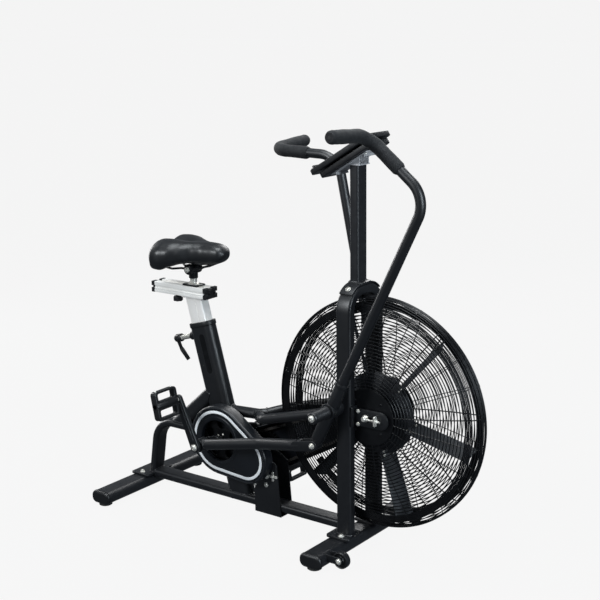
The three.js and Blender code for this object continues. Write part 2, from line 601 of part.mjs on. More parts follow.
function addFan() {
  const { hub, low, high, tip } = ROTOR;
  const bore = 7 + GAP;
  const y0 = SECOND_CHAIN_Y - SPROCKET.width / 2;
  const y1 = y0 + SPROCKET.width;
  const drum = latheY([
    [bore, low], [28, low], [28, -9], [hub, -9], [hub, -4], [28, -4], [28, high], [14, high], [14, y0],
    [SPROCKET.fan, y0], [SPROCKET.fan, y1], [bore, y1], [bore, low],
  ], 24);
  const flat = box(hub - 12, tip, -BLADE.thick / 2, BLADE.thick / 2, -BLADE.width / 2, BLADE.width / 2);
  const blade = flat.rotateX(rad(90 + BLADE.tilt)).translate(0, BLADE.y, 0);
  const paddle = (k) => blade.clone().rotateY(rad(BLADE.first + (360 / BLADE.count) * k));
  const paddles = Array.from({ length: BLADE.count }, (_, k) => paddle(k));
  add('fan_rotor', place(join(drum, ...paddles), 0, 0, FAN_Z), BLACK_STEEL);
  add('fan_axle', place(discY(7, -86, 86, 0, 16), 0, 0, FAN_Z), ZINC);

  // Each bracket is a flat arm on the leg's front face that holds the axle's end.
  for (const side of [RIGHT, LEFT]) {
    const [a0, a1] = span(side, LEG.y - 7, LEG.y - 2);
    const [t0, t1] = span(side, LEG.y - 15, LEG.y + 14);
    const front = LEG.x + LEG.along / 2;
    const flange = box(front + GAP, front + 5, t0, t1, FAN_Z - 30, FAN_Z + 30);
    const hole = place(discY(7 + GAP, -100, 100, 0, 12), 0, 0, FAN_Z);
    const bracket = cut(join(slabY(fanBracketOutline(), a0, a1), flange), hole);
    add(`fan_bracket_${sideName(side)}`, bracket, BLACK_PAINT);
  }
}

function fanBracketOutline() {
  const back = LEG.x + LEG.along / 2 + GAP;
  const points = [v2(FAN_Z - 26, back), v2(FAN_Z + 26, back)];
  const arcSteps = 6;
  for (let k = 0; k <= arcSteps; k += 1) {
    const a = (Math.PI * k) / arcSteps;
    points.push(v2(FAN_Z + 26 * Math.cos(a), 50 + 26 * Math.sin(a)));
  }
  return new THREE.Shape(points.reverse());
}

// ---- swinging handles and push rods ---------------------------------------------------
const leverPivot = v3(LEVER.pivotX, 0, LEVER.pivotZ);
const leverPoint = (side, back, up) => {
  const lean = rad(LEVER_LEAN[side]);
  return v3(
    LEVER.pivotX + back * Math.cos(lean) + up * Math.sin(lean),
    0,
    LEVER.pivotZ - back * Math.sin(lean) + up * Math.cos(lean),
  );
};
const lean = (geometry, side) => (
  turnY(geometry, LEVER_LEAN[side]).translate(LEVER.pivotX, 0, LEVER.pivotZ)
);

function leverCorners(side) {
  return [
    v3(0, side * LEVER.y, 70), v3(0, side * LEVER.y, LEVER.rise),
    v3(LEVER.backX, side * LEVER.y, LEVER.backZ), v3(LEVER.backX, side * LEVER.endY, LEVER.backZ + 12),
  ];
}

function addLevers() {
  const { radius, socket, hub, bore, half } = LEVER_TUBE;
  for (const side of [RIGHT, LEFT]) {
    const y = side * LEVER.y;
    const corners = leverCorners(side);
    const bent = sweep(circle(radius, 8), corners, LEVER_BENDS, 4);
    const sleeve = place(discZ(socket, -LEVER_LOW + 12, 88, 12), 0, y, 0);
    const boss = discY(hub, y - half, y + half, 0, 16);
    const eye = place(discY(15, y - 11, y + 11, 0, 12), 0, 0, -LEVER_LOW);
    const flats = [-1, 1].map((s) => {
      const [f0, f1] = s < 0 ? [y - 30, y - 11] : [y + 11, y + 30];
      return box(-30, 30, f0, f1, -LEVER_LOW - 30, -LEVER_LOW + 32);
    });
    const pivotBore = discY(bore + 0.8, y - half - 1, y + half + 1, 0, 12);
    const boltBore = place(discY(6.6, y - 20, y + 20, 0, 8), 0, 0, -LEVER_LOW);
    const handle = cut(join(bent, sleeve, boss, eye), ...flats, pivotBore, boltBore);
    add(`handle_${sideName(side)}`, lean(handle, side), BLACK_PAINT);

    const start = corners[1].clone().lerp(corners[2], GRIP.start);
    const foamSection = circle(GRIP.radius, 8);
    foamSection.holes.push(circle(radius + 2 * GAP, 8, THREE.Path));
    const foam = sweep(foamSection, [start, corners[2], corners[3]], LEVER_BENDS[1], 4);
    add(`grip_${sideName(side)}`, lean(foam, side), FOAM);

    const pegInner = LEG.y + LEG.across / 2 + GAP;
    const [hubIn, hubOut] = [LEVER.y - half - GAP, LEVER.y + half + GAP];
    const peg = latheY([
      [0, pegInner], [PEG.flange, pegInner], [PEG.flange, hubIn], [bore, hubIn], [bore, hubOut],
      [PEG.radius, hubOut], [PEG.radius, PEG.end - 6], [PEG.radius - 4.5, PEG.end], [0, PEG.end],
    ], 14);
    if (side === RIGHT) peg.rotateX(Math.PI);
    add(`foot_peg_${sideName(side)}`, place(peg, LEVER.pivotX, 0, LEVER.pivotZ), BLACK_PAINT);
    add(`push_rod_${sideName(side)}`, pushRod(side), BLACK_PAINT);
  }
}

// A fat tube with a round eye at the crank end and a fork round the handle's lower eye.
function pushRod(side) {
  const pin = crankPin(side);
  const front = leverPoint(side, 0, -LEVER_LOW);
  const { rearY, radius, boss, bossHalf, bend } = ROD;
  const { inner, outer, root, rootRadius, tipRadius, bolt } = ROD_FORK;
  const length = Math.hypot(front.x - pin.x, front.z - pin.z);
  const y = side * LEVER.y;
  const rear = side * rearY;
  const route = [
    v3(-length + 8, rear, 0), v3(ROD_JOG.from, rear, 0), v3(ROD_JOG.to, y, 0), v3(ROD_JOG.end, y, 0),
  ];
  const tube = sweep(circle(radius, 10), route, bend, 2);
  const eye = discY(boss, rear - bossHalf, rear + bossHalf, 0, 16).translate(-length, 0, 0);
  const cheeks = [-1, 1].map((s) => {
    const [c0, c1] = s < 0 ? [y - outer, y - inner] : [y + inner, y + outer];
    return slabY(beltOutline(v3(root, 0, 0), rootRadius, v3(0, 0, 0), tipRadius), c0, c1, 4);
  });
  const pivot = discY(bolt, y - outer - 4, y + outer + 4, 0, 8);
  const room = box(-44, 30, y - inner, y + inner, -30, 30);
  const body = join(cut(join(tube, eye, ...cheeks), room), pivot);
  const slope = Math.atan2(front.z - pin.z, front.x - pin.x);
  return body.rotateY(-slope).translate(front.x, 0, front.z);
}

// ---- seat post, saddle rail and saddle ---------------------------------------------------
function addSeat() {
  const railLow = RAIL.z - RAIL.height / 2;
  const railTop = RAIL.z + RAIL.height / 2;
  const post = alongSeat(hollowRect(POST.across, POST.along, 5, 3), -POST.inside, POST.out + 40);
  add('seat_post', cut(post, box(-900, -500, -60, 60, railLow - GAP, 900)), SILVER);

  // Slotted extrusion: the saddle's carriage slides along its top channel.
  const [r0, r1] = [RAIL.x - RAIL.length / 2, RAIL.x + RAIL.length / 2];
  const half = RAIL.width / 2;
  const profile = new THREE.Shape([
    v2(-half, -17), v2(half, -17), v2(half, -4), v2(half - 4, -2), v2(half - 4, 4), v2(half, 6),
    v2(half, 17),
    v2(8, 17), v2(8, 12), v2(15, 12), v2(15, 4), v2(-15, 4), v2(-15, 12), v2(-8, 12), v2(-8, 17),
    v2(-half, 17), v2(-half, 6), v2(-half + 4, 4), v2(-half + 4, -2), v2(-half, -4),
  ]);
  add('slider_rail', prism(profile, r1 - r0).applyMatrix4(ALONG_X).translate(r0, 0, RAIL.z), SILVER);
  for (const [name, x] of [['rear', r0 - RAIL.cap - GAP], ['front', r1 + GAP]]) {
    const cap = prism(roundedRect(RAIL.width + 2, RAIL.height + 2, 4), RAIL.cap, 2).applyMatrix4(ALONG_X);
    add(`rail_cap_${name}`, cap.translate(x, 0, RAIL.z), BLACK_PLASTIC);
  }

  const cx = SADDLE.clampX;
  const foot = box(cx - 34, cx + 34, -14, 14, RAIL.z + 4.6, RAIL.z + 11.4);
  const stem = box(cx - 30, cx + 30, -7.4, 7.4, RAIL.z + 8, railTop + 6);
  const pad = box(cx - 32, cx + 32, -22, 22, railTop + GAP, railTop + 8);
  const pin = discZ(11, railTop + 6, SADDLE.low - 24, 16).translate(cx, 0, 0);
  const head = place(discY(15, -26, 26, 0, 16), cx, 0, SADDLE.low - 16);
  add('saddle_carriage', join(foot, stem, pad, pin, head), SILVER);
  add('saddle', saddleBody(), LEATHER);

  const knob = latheY([[0, 0], [4, 0], [4, 8], [13, 8], [15, 11], [15, 22], [12, 25], [0, 25]], 12);
  add('rail_knob', place(knob.rotateX(-Math.PI / 2), cx - 68, 0, railLow - GAP), BLACK_PLASTIC);
  addClampLever();
}

function saddleBody() {
  const { noseX, rearX, half, low, high } = SADDLE;
  const s = new THREE.Shape();
  s.moveTo(noseX, 0);
  s.bezierCurveTo(noseX, 34, noseX - 40, 26, noseX - 80, 34);
  s.bezierCurveTo(noseX - 125, 46, noseX - 130, half, rearX + 60, half);
  s.bezierCurveTo(rearX + 5, half, rearX, 60, rearX + 12, 0);
  s.bezierCurveTo(rearX, -60, rearX + 5, -half, rearX + 60, -half);
  s.bezierCurveTo(noseX - 130, -half, noseX - 125, -46, noseX - 80, -34);
  s.bezierCurveTo(noseX - 40, -26, noseX, -34, noseX, 0);
  const cushion = (z0, z1, bevel) => new THREE.ExtrudeGeometry(s, {
    depth: z1 - z0 - 2 * bevel, bevelEnabled: true, bevelThickness: bevel, bevelSize: 10,
    bevelOffset: -10, bevelSegments: 2, curveSegments: 5, steps: 1,
  }).translate(0, 0, z0 + bevel);
  const ahead = new THREE.Shape([
    v2(SKIRT.low - 5, 0), v2(SKIRT.low - 5, SKIRT.toe), v2(low - 16, (SKIRT.toe + SKIRT.front) / 2),
    v2(low + 16, SKIRT.front), v2(high, SKIRT.front), v2(high, 0),
  ]);
  const skirt = cut(cushion(SKIRT.low, low + 40, 12), slabY(ahead, -half - 10, half + 10, 1));
  return join(cushion(low, high, 16), skirt);
}

// The clamp's screw stands on the seat tube's rear face, and its ratchet lever turns on it.
// Both are drawn with the screw along +Y.
function onClamp(geometry) {
  const centre = onSeatAxis(-CLAMP_DEPTH).addScaledVector(seatAcross, SEAT.along / 2);
  return turnY(geometry.rotateZ(Math.PI / 2), -SEAT.tilt).translate(centre.x, 0, centre.z);
}

function clampBoss() {
  return onClamp(latheY([[0, -1.5], [13, -1.5], [13, 14], [8, 16], [8, 70], [0, 70]], 12));
}

function addClampLever() {
  const bore = 8.6;
  const hub = latheY([
    [bore, 58], [12, 58], [13, 62], [13, 82], [9, 86], [0, 86], [0, 70.6], [bore, 70.6], [bore, 58],
  ], 12);
  const arm = sweep(circle(6, 8), [v3(0, 79, -6), v3(7, 80, -34), v3(18, 70, -74)], 30, 2);
  add('clamp_lever', onClamp(join(hub, arm)), BLACK_PLASTIC);
}

bike.name = 'air_bike';
addBase();
addWheels();
addSeatTube();
addFrontFrame();
addConsole();
addCranks();
addJackshaft();
addChains();
addCovers();
addCage();
addFan();
addLevers();
addSeat();

// The origin is at the bottom centre of the bike's box.
const bounds = new THREE.Box3().setFromObject(bike);
bike.position.x = -(bounds.min.x + bounds.max.x) / 2;

export default bike;
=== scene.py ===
import json
import random
from math import acos, atan2, copysign, cos, exp, hypot, pi, radians, sin, sqrt, tan

import bmesh
import bpy
from mathutils import Matrix, Vector
from mathutils.geometry import tessellate_polygon


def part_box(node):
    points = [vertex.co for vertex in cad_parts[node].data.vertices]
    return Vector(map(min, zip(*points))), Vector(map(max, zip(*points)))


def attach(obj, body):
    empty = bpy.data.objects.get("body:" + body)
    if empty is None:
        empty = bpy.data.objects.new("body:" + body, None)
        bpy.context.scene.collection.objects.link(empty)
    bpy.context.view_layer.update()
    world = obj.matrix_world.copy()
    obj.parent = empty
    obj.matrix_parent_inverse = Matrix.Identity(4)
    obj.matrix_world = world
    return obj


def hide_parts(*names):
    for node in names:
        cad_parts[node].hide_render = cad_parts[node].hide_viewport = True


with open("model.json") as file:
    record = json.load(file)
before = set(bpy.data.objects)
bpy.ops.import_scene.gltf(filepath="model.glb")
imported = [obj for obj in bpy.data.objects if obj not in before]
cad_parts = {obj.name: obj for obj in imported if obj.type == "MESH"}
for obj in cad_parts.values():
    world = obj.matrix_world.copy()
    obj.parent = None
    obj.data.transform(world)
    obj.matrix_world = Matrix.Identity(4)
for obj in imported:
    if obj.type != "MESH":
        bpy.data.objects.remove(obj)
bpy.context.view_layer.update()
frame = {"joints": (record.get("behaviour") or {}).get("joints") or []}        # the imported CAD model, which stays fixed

MM = 0.001
JOINTS = {joint["name"]: joint for joint in frame["joints"]}
FAN_X = JOINTS["fan_spin"]["pos_m"][0] / MM
SIDES = (("right", -1), ("left", 1))
X, Y, Z = Vector((1, 0, 0)), Vector((0, 1, 0)), Vector((0, 0, 1))
WELD_STEP = 3.2         # spacing of a weld bead's stations
dice = random.Random(11)


def axle(joint):
    """A joint's place, in millimetres about the fan's axle."""
    x, y, z = JOINTS[joint]["pos_m"]
    return Vector((x / MM - FAN_X, y / MM, z / MM))


def span(node):
    """A CAD node's lowest and highest corner, in millimetres about the fan's axle."""
    return [corner / MM - X * FAN_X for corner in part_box(node)]


# ---- outlines and lines ---------------------------------------------------------------------
def circle(radius, sides=32):
    turns = [2 * pi * k / sides for k in range(sides)]
    return [(radius * cos(a), radius * sin(a)) for a in turns]


def rounded(width, height, radius, steps=6):
    """A rectangle with round corners, as a closed loop."""
    loop = []
    for quarter, (sx, sy) in enumerate(((1, 1), (-1, 1), (-1, -1), (1, -1))):
        for k in range(steps + 1):
            a = pi / 2 * (quarter + k / steps)
            loop.append((sx * (width / 2 - radius) + radius * cos(a),
                         sy * (height / 2 - radius) + radius * sin(a)))
    return loop


def belt(a, radius_a, b, radius_b, steps=24):
    """The outline of a belt round two pulleys, in X and Z."""
    heading = atan2(b.z - a.z, b.x - a.x)
    lean = acos((radius_a - radius_b) / hypot(b.x - a.x, b.z - a.z))
    loop = []
    for centre, radius, start, turn in (
        (b, radius_b, heading - lean, 2 * lean),
        (a, radius_a, heading + lean, 2 * pi - 2 * lean),
    ):
        for k in range(steps + 1):
            angle = start + turn * k / steps
            loop.append((centre.x + radius * cos(angle), centre.z + radius * sin(angle)))
    return loop


def inset_polygon(points, inset):
    """A polygon, drawn anticlockwise, with each side moved inwards."""
    moved = []
    for k, corner in enumerate(points):
        here = Vector(corner)
        before = (here - Vector(points[k - 1])).normalized()
        after = (Vector(points[(k + 1) % len(points)]) - here).normalized()
        left_before = Vector((-before.y, before.x))
        left_after = Vector((-after.y, after.x))
        middle = (left_before + left_after) / (1 + left_before.dot(left_after))
        moved.append(tuple(here + middle * inset))
    return moved


def bent(corners, radii, steps=12):
    """A line's stations, as (point, tangent): straight runs joined by round bends."""
    corners = [Vector(c) for c in corners]
    radii = radii if isinstance(radii, (list, tuple)) else [radii] * (len(corners) - 2)
    heads = [(b - a).normalized() for a, b in zip(corners, corners[1:])]
    stations = [(corners[0], heads[0])]
    for corner, radius, before, after in zip(corners[1:-1], radii, heads, heads[1:]):
        angle = before.angle(after)
        inward = (after - before * cos(angle)).normalized()
        start = corner - before * radius * tan(angle / 2)
        for k in range(steps + 1):
            a = angle * k / steps
            point = start + before * radius * sin(a) + inward * radius * (1 - cos(a))
            stations.append((point, before * cos(a) + inward * sin(a)))
    stations.append((corners[-1], heads[-1]))
    return stations


def moved(shape, dx, dy):
    return lambda inset: [(x + dx, y + dy) for x, y in shape(inset)]


def block(width, height, radius, steps=5):
    """A rectangle with round corners, which shrinks with the inset."""
    return lambda inset: rounded(width - 2 * inset, height - 2 * inset, radius - inset, steps)


def hole(width, height, radius):
    """A rectangular hole, which grows with the inset."""
    return lambda inset: rounded(width + 2 * inset, height + 2 * inset, radius + inset, 5)


def bore(radius, sides, at):
    """A round hole in a plate that stands in X and Z."""
    return moved(lambda inset: circle(radius + inset, sides), at.x, at.z)


def link(a, radius_a, b, radius_b, steps=24):
    """A plate's outline round two pins."""
    return lambda inset: belt(a, radius_a - inset, b, radius_b - inset, steps)


def link_hole(a, radius_a, b, radius_b):
    return lambda inset: belt(a, radius_a + inset, b, radius_b + inset)


def polygon(points):
    return lambda inset: inset_polygon(points, inset)


def about(centre, radius, y, degrees):
    """A point on a circle that stands in X and Z."""
    a = radians(degrees)
    return Vector((centre.x + radius * cos(a), y, centre.z + radius * sin(a)))


def flip(side, low, high):
    """A stretch of |y| on one side, as (low, high) in Y."""
    return (low, high) if side > 0 else (-high, -low)


def rod(radius, low, high, bevel=0, rise=None):
    """A turned profile that ends on its axis, as (radius, height) points."""
    rise = bevel if rise is None else rise
    side = [(radius, low + rise), (radius, high - rise)]
    if bevel:
        side = [(radius - bevel, low), *side, (radius - bevel, high)]
    return [(0, low), *side, (0, high)]


def ring(inner, outer, low, high, bevel=0, rise=None):
    """The turned profile of a ring, which closes on itself."""
    side = rod(outer, low, high, bevel, rise)[1:-1]
    return [(inner, low), *side, (inner, high), (inner, low)]


def on_plane(point, heading, at, normal):
    """Where a line through a point meets a plane."""
    return point + heading * ((at - point).dot(normal) / heading.dot(normal))


# ---- pieces -----------------------------------------------------------------------------------
FLAT_XZ = Matrix(((1, 0, 0, 0), (0, 0, 1, 0), (0, 1, 0, 0), (0, 0, 0, 1)))  # (x, z, y) to (x, y, z)
FLAT_YZ = Matrix(((0, 0, 1, 0), (1, 0, 0, 0), (0, 1, 0, 0), (0, 0, 0, 1)))  # (y, z, x) to (x, y, z)
LEVEL = Matrix()


def level(x, y=0):
    """A shift that keeps the height."""
    return Matrix.Translation((x, y, 0))


class Piece:
    """Collects closed surfaces, then becomes one Blender object that rides on a CAD body."""

    def __init__(self, name, at=LEVEL):
        self.name = name
        self.at = at
        self.points = []
        self.faces = []
        self.finishes = []
        self.face_finish = []

    def add(self, points, faces, finish):
        if finish not in self.finishes:
            self.finishes.append(finish)
        start = len(self.points)
        self.points.extend(self.at @ Vector(p) for p in points)
        self.faces.extend(tuple(start + i for i in face) for face in faces)
        self.face_finish.extend([self.finishes.index(finish)] * len(faces))

    def loft(self, loops, finish, closed=False):
        """Skins closed loops with equally many points, one to the next."""
        n = len(loops[0])
        rows = len(loops)
        faces = []
        for row in range(rows if closed else rows - 1):
            a, b = row * n, (row + 1) % rows * n
            faces.extend((a + k, a + (k + 1) % n, b + (k + 1) % n, b + k) for k in range(n))
        if not closed:
            faces.extend([tuple(range(n)), tuple(range((rows - 1) * n, rows * n))])
        self.add([p for loop in loops for p in loop], faces, finish)

    def sweep(self, section, line, up, finish, closed=False, scale=None):
        """Carries a section along a line's stations. Its y points up at the start."""
        loops = []
        for k, (point, tangent) in enumerate(line):
            up = (up - tangent * up.dot(tangent)).normalized()
            side = tangent.cross(up)
            size = scale[k] if scale else 1
            loops.append([point + side * x * size + up * y * size for x, y in section])
        self.loft(loops, finish, closed)

    def turn(self, profile, at, axis, finish, sides=32):
        """Turns (radius, height) points about an axis. The profile ends on it or closes on itself."""
        axis = axis.normalized()
        across = axis.orthogonal().normalized() if abs(axis.z) < 0.9 else X.copy()
        across = (across - axis * across.dot(axis)).normalized()
        beside = axis.cross(across)
        ring = profile[0] == profile[-1]
        rows = [(r, h) for r, h in profile if r > 0][:-1 if ring else None]
        section = circle(1, sides)
        loops = [[at + axis * h + (across * x + beside * y) * r for x, y in section] for r, h in rows]
        if ring:
            self.loft(loops, finish, closed=True)
            return
        faces = []
        for row in range(len(rows) - 1):
            a, b = row * sides, (row + 1) * sides
            faces.extend((a + k, a + (k + 1) % sides, b + (k + 1) % sides, b + k) for k in range(sides))
        low, high = len(rows) * sides, len(rows) * sides + 1
        top = (len(rows) - 1) * sides
        faces.extend((low, (k + 1) % sides, k) for k in range(sides))
        faces.extend((high, top + k, top + (k + 1) % sides) for k in range(sides))
        ends = [at + axis * profile[0][1], at + axis * profile[-1][1]]
        self.add([p for loop in loops for p in loop] + ends, faces, finish)

    def slab(self, shapes, low, high, finish, place=FLAT_XZ, edge=1.0, steps=3):
        """A plate between two heights with round edges. Shapes give a loop at an inset: an
        outline, then its holes."""
        bends = [pi / 2 * k / steps for k in range(steps + 1)]
        rise = [(edge * (1 - sin(a)), low + edge * (1 - cos(a))) for a in bends]
        rise += [(inset, high - (height - low)) for inset, height in reversed(rise)]
        loops = [[[place @ Vector((x, y, h)) for x, y in shape(inset)] for inset, h in rise]
                 for shape in shapes]
        points = []
        faces = []
        rims = ([], [])
        for rows in loops:
            n = len(rows[0])
            start = len(points)
            points.extend(p for row in rows for p in row)
            for row in range(len(rows) - 1):
                a, b = start + row * n, start + (row + 1) * n
                faces.extend((a + k, a + (k + 1) % n, b + (k + 1) % n, b + k) for k in range(n))
            rims[0].extend(range(start, start + n))
            rims[1].extend(range(start + (len(rows) - 1) * n, start + len(rows) * n))
        flat = [[Vector((x, y, 0)) for x, y in shape(edge)] for shape in shapes]
        for triangle in tessellate_polygon(flat):
            faces.extend(tuple(rim[i] for i in triangle) for rim in rims)
        self.add(points, faces, finish)

    def tube(self, corners, radius, finish, bend=1, sides=24, up=Y, steps=12):
        self.sweep(circle(radius, sides), bent(corners, bend, steps), up, finish)

    def bolt(self, at, axis, size, finish, kind="nut"):
        """A fastener on a washer: a nut with the end of its bolt, or a domed socket head."""
        base = size * 0.16
        self.turn(rod(size * 1.3, 0, base), at, axis, finish, 20)
        if kind == "nut":
            top = base + size * 0.75
            self.turn([(0, base), (size, base), (size, top - size * 0.12), (size * 0.85, top), (0, top)],
                      at, axis, finish, 6)
            self.turn([(0, top), (size * 0.5, top), (size * 0.5, top + size * 0.3),
                       (size * 0.4, top + size * 0.4), (0, top + size * 0.4)], at, axis, finish, 16)
        else:
            dome = [(size * cos(a), base + size * 0.25 + size * 0.45 * sin(a))
                    for a in (0, 0.35, 0.7, 1.05)]
            floor = base + size * 0.2
            self.turn([(0, base), (size, base)] + dome + [(size * 0.42, dome[-1][1]),
                      (size * 0.4, floor), (0, floor)], at, axis, finish, 24)

    def weld(self, loop, radius):
        """A weld seam: a lumpy round bead along a closed loop."""
        path = []
        for a, b in zip(loop, loop[1:] + loop[:1]):
            parts = max(1, round((b - a).length / WELD_STEP))
            path.extend(a.lerp(b, k / parts) for k in range(parts))
        loops = []
        for k, point in enumerate(path):
            tangent = (path[(k + 1) % len(path)] - path[k - 1]).normalized()
            side = tangent.orthogonal().normalized()
            up = tangent.cross(side)
            size = radius * (1 + 0.16 * sin(k * 2.4) + 0.08 * dice.uniform(-1, 1))
            loops.append([point + (side * x + up * y) * size for x, y in circle(1, 8)])
        self.loft(loops, PAINT, closed=True)

    def finish(self, body, slot, *nodes, sharp=38):
        """Makes the object, rides it on a body and hides the CAD nodes that it stands for."""
        mesh = bpy.data.meshes.new(self.name)
        mesh.from_pydata([(p + X * FAN_X) * MM for p in self.points], [], self.faces)
        mesh.polygons.foreach_set("material_index", self.face_finish)
        for finish in self.finishes:
            mesh.materials.append(finish)
        shape = bmesh.new()
        shape.from_mesh(mesh)
        bmesh.ops.recalc_face_normals(shape, faces=shape.faces)
        shape.to_mesh(mesh)
        shape.free()
        mesh.shade_smooth()
        mesh.set_sharp_from_angle(angle=radians(sharp))
        piece = bpy.data.objects.new(self.name, mesh)
        bpy.context.scene.collection.objects.link(piece)
        return settle(piece, body, slot, *nodes)


def settle(piece, body, slot, *nodes):
    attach(piece, body)
    if nodes:
        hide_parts(*nodes)
    return piece


# ---- materials --------------------------------------------------------------------------------
class Finish:
    """A procedural surface. Texture coordinates are metres in the piece's own place."""

    def __init__(self, name, roughness, metallic=0.0, **sockets):
        self.material = bpy.data.materials.new(name)
        self.material.use_nodes = True
        self.tree = self.material.node_tree
        self.surface = self.tree.nodes["Principled BSDF"]
        self.surface.inputs["Metallic"].default_value = metallic
        self.surface.inputs["Roughness"].default_value = roughness
        for socket, value in sockets.items():
            self.surface.inputs[socket.replace("_", " ")].default_value = value
        self.place = self.node("ShaderNodeTexCoord").outputs["Object"]
        self.normal = None

    def node(self, kind, inputs=None, **settings):
        made = self.tree.nodes.new(kind)
        for key, value in settings.items():
            setattr(made, key, value)
        for key, value in (inputs or {}).items():
            self.join(value, made.inputs[key])
        return made

    def join(self, value, socket):
        if isinstance(value, bpy.types.NodeSocket):
            self.tree.links.new(value, socket)
        else:
            socket.default_value = value

    def math(self, operation, a, b=0.0):
        return self.node("ShaderNodeMath", {0: a, 1: b}, operation=operation).outputs[0]

    def noise(self, scale, detail=3.0, stretch=None):
        place = self.place
        if stretch:
            scaled = self.node("ShaderNodeVectorMath", {0: place, 1: stretch}, operation="MULTIPLY")
            place = scaled.outputs[0]
        made = self.node("ShaderNodeTexNoise", {"Vector": place, "Scale": scale, "Detail": detail})
        return made.outputs[0]

    def cells(self, scale):
        return self.node("ShaderNodeTexVoronoi", {"Vector": self.place, "Scale": scale}).outputs["Distance"]

    def ranged(self, value, low, high, to_low=0.0, to_high=1.0):
        made = self.node("ShaderNodeMapRange", {"Value": value, "From Min": low, "From Max": high,
                                                "To Min": to_low, "To Max": to_high})
        return made.outputs[0]

    def mixed(self, factor, a, b):
        made = self.node("ShaderNodeMix", data_type="RGBA")
        for key, value in ((0, factor), (6, a), (7, b)):
            value = (*value, 1) if isinstance(value, tuple) else value
            self.join(value, made.inputs[key])
        return made.outputs[2]

    def color(self, socket):
        self.join(socket, self.surface.inputs["Base Color"])

    def gloss(self, socket):
        self.join(socket, self.surface.inputs["Roughness"])

    def bump(self, height, strength, distance):
        made = self.node("ShaderNodeBump", {"Height": height, "Strength": strength, "Distance": distance})
        if self.normal:
            self.join(self.normal, made.inputs["Normal"])
        self.normal = made.outputs[0]
        self.join(self.normal, self.surface.inputs["Normal"])

    def dusted(self, color, dust, amount):
        """Fine dust that settles where a surface faces up."""
        up = self.node("ShaderNodeSeparateXYZ", {0: self.node("ShaderNodeNewGeometry").outputs["Normal"]})
        facing = self.ranged(up.outputs["Z"], 0.5, 1.0)
        specks = self.ranged(self.noise(160, 5), 0.42, 0.72, 0.0, amount)
        return self.mixed(self.math("MULTIPLY", facing, specks), color, dust)


def painted(name, tone, shade, roughness, coat=0.15, specular=0.5):
    """Satin powder coat: orange peel, faint streaks of rubbing, and paler edges that are partly wear and
    partly a painted edge highlight.
    """
    f = Finish(name, roughness, 0.0, Coat_Weight=coat, Coat_Roughness=0.36, Specular_IOR_Level=specular)
    mottle = f.mixed(f.ranged(f.noise(9), 0.3, 0.7), tone, shade)
    # Paler blue-grey edges where the surface is pointed: partly wear from rubbing, partly a painted edge
    # highlight.
    edge = f.ranged(f.node("ShaderNodeNewGeometry").outputs["Pointiness"], 0.54, 0.66)
    rubbed_and_lit_edge = f.math("MULTIPLY", edge, f.ranged(f.noise(60, 6), 0.45, 0.7))
    wear_and_highlight = f.mixed(f.math("MULTIPLY", rubbed_and_lit_edge, 0.2), mottle, (0.06, 0.063, 0.07))
    f.color(f.dusted(wear_and_highlight, (0.10, 0.10, 0.10), 0.02))
    f.gloss(f.ranged(f.noise(22, 6), 0.3, 0.75, roughness - 0.03, roughness + 0.04))
    f.bump(f.noise(420, 2), 0.006, 0.0004)
    return f.material


def brushed(name, tone, shade, metallic, roughness, stretch):
    """Anodised extrusion: fine lines along its length, small scratches and handling marks."""
    f = Finish(name, roughness, metallic)
    lines = f.noise(1.0, 3, stretch)
    marks = f.ranged(f.noise(14, 5), 0.5, 0.75)
    f.color(f.mixed(f.math("MULTIPLY", marks, 0.5), tone, shade))
    f.gloss(f.ranged(lines, 0.3, 0.7, roughness - 0.06, roughness + 0.08))
    f.bump(lines, 0.05, 0.0002)
    return f.material


def plated():
    f = Finish("zinc_plate", 0.28, 0.6)
    f.color(f.mixed(f.ranged(f.noise(120, 4), 0.35, 0.65), (0.88, 0.86, 0.80), (0.62, 0.60, 0.55)))
    f.gloss(f.ranged(f.noise(300), 0.3, 0.7, 0.2, 0.38))
    f.bump(f.noise(900), 0.08, 0.0004)
    return f.material


def moulded(name, tone, roughness, grain=0.25):
    """Moulded plastic: a fine spark-eroded grain and slight shine where hands rub it."""
    f = Finish(name, roughness)
    mottle = f.mixed(f.ranged(f.noise(14), 0.3, 0.7), tone, tuple(1.5 * c for c in tone))
    f.color(f.dusted(mottle, (0.12, 0.12, 0.12), 0.05))
    f.gloss(f.ranged(f.noise(30, 5), 0.3, 0.7, roughness - 0.06, roughness + 0.06))
    f.bump(f.cells(1300), grain, 0.0004)
    return f.material


def rubbery():
    f = Finish("rubber", 0.8)
    mottle = f.mixed(f.noise(60, 5), (0.012, 0.012, 0.012), (0.03, 0.03, 0.029))
    f.color(f.dusted(mottle, (0.2, 0.19, 0.18), 0.2))
    f.bump(f.noise(500, 4), 0.4, 0.0006)
    return f.material


def foamed():
    """Closed-cell foam: tiny pits, slight lumps and a dull sheen."""
    f = Finish("grip_foam", 0.78, Sheen_Weight=0.03, Sheen_Roughness=0.6, Specular_IOR_Level=0.35)
    f.color(f.mixed(f.ranged(f.noise(70, 5), 0.3, 0.7), (0.0062, 0.0068, 0.008), (0.0098, 0.0104, 0.012)))
    f.gloss(f.ranged(f.noise(40), 0.3, 0.7, 0.7, 0.9))
    f.bump(f.cells(950), 0.5, 0.0007)
    f.bump(f.noise(55, 3), 0.3, 0.003)
    return f.material


def leathered():
    """Soft vinyl leather: pebble grain and fine creases."""
    f = Finish("saddle_leather", 0.40, Coat_Weight=0.12, Coat_Roughness=0.34)
    tone = f.mixed(f.ranged(f.noise(18, 5), 0.3, 0.7), (0.0045, 0.005, 0.006), (0.0075, 0.0082, 0.0095))
    f.color(f.dusted(tone, (0.12, 0.12, 0.12), 0.03))
    f.gloss(f.ranged(f.noise(26, 5), 0.3, 0.7, 0.37, 0.44))
    f.bump(f.cells(520), 0.08, 0.0004)
    f.bump(f.noise(90, 6), 0.05, 0.0010)
    return f.material


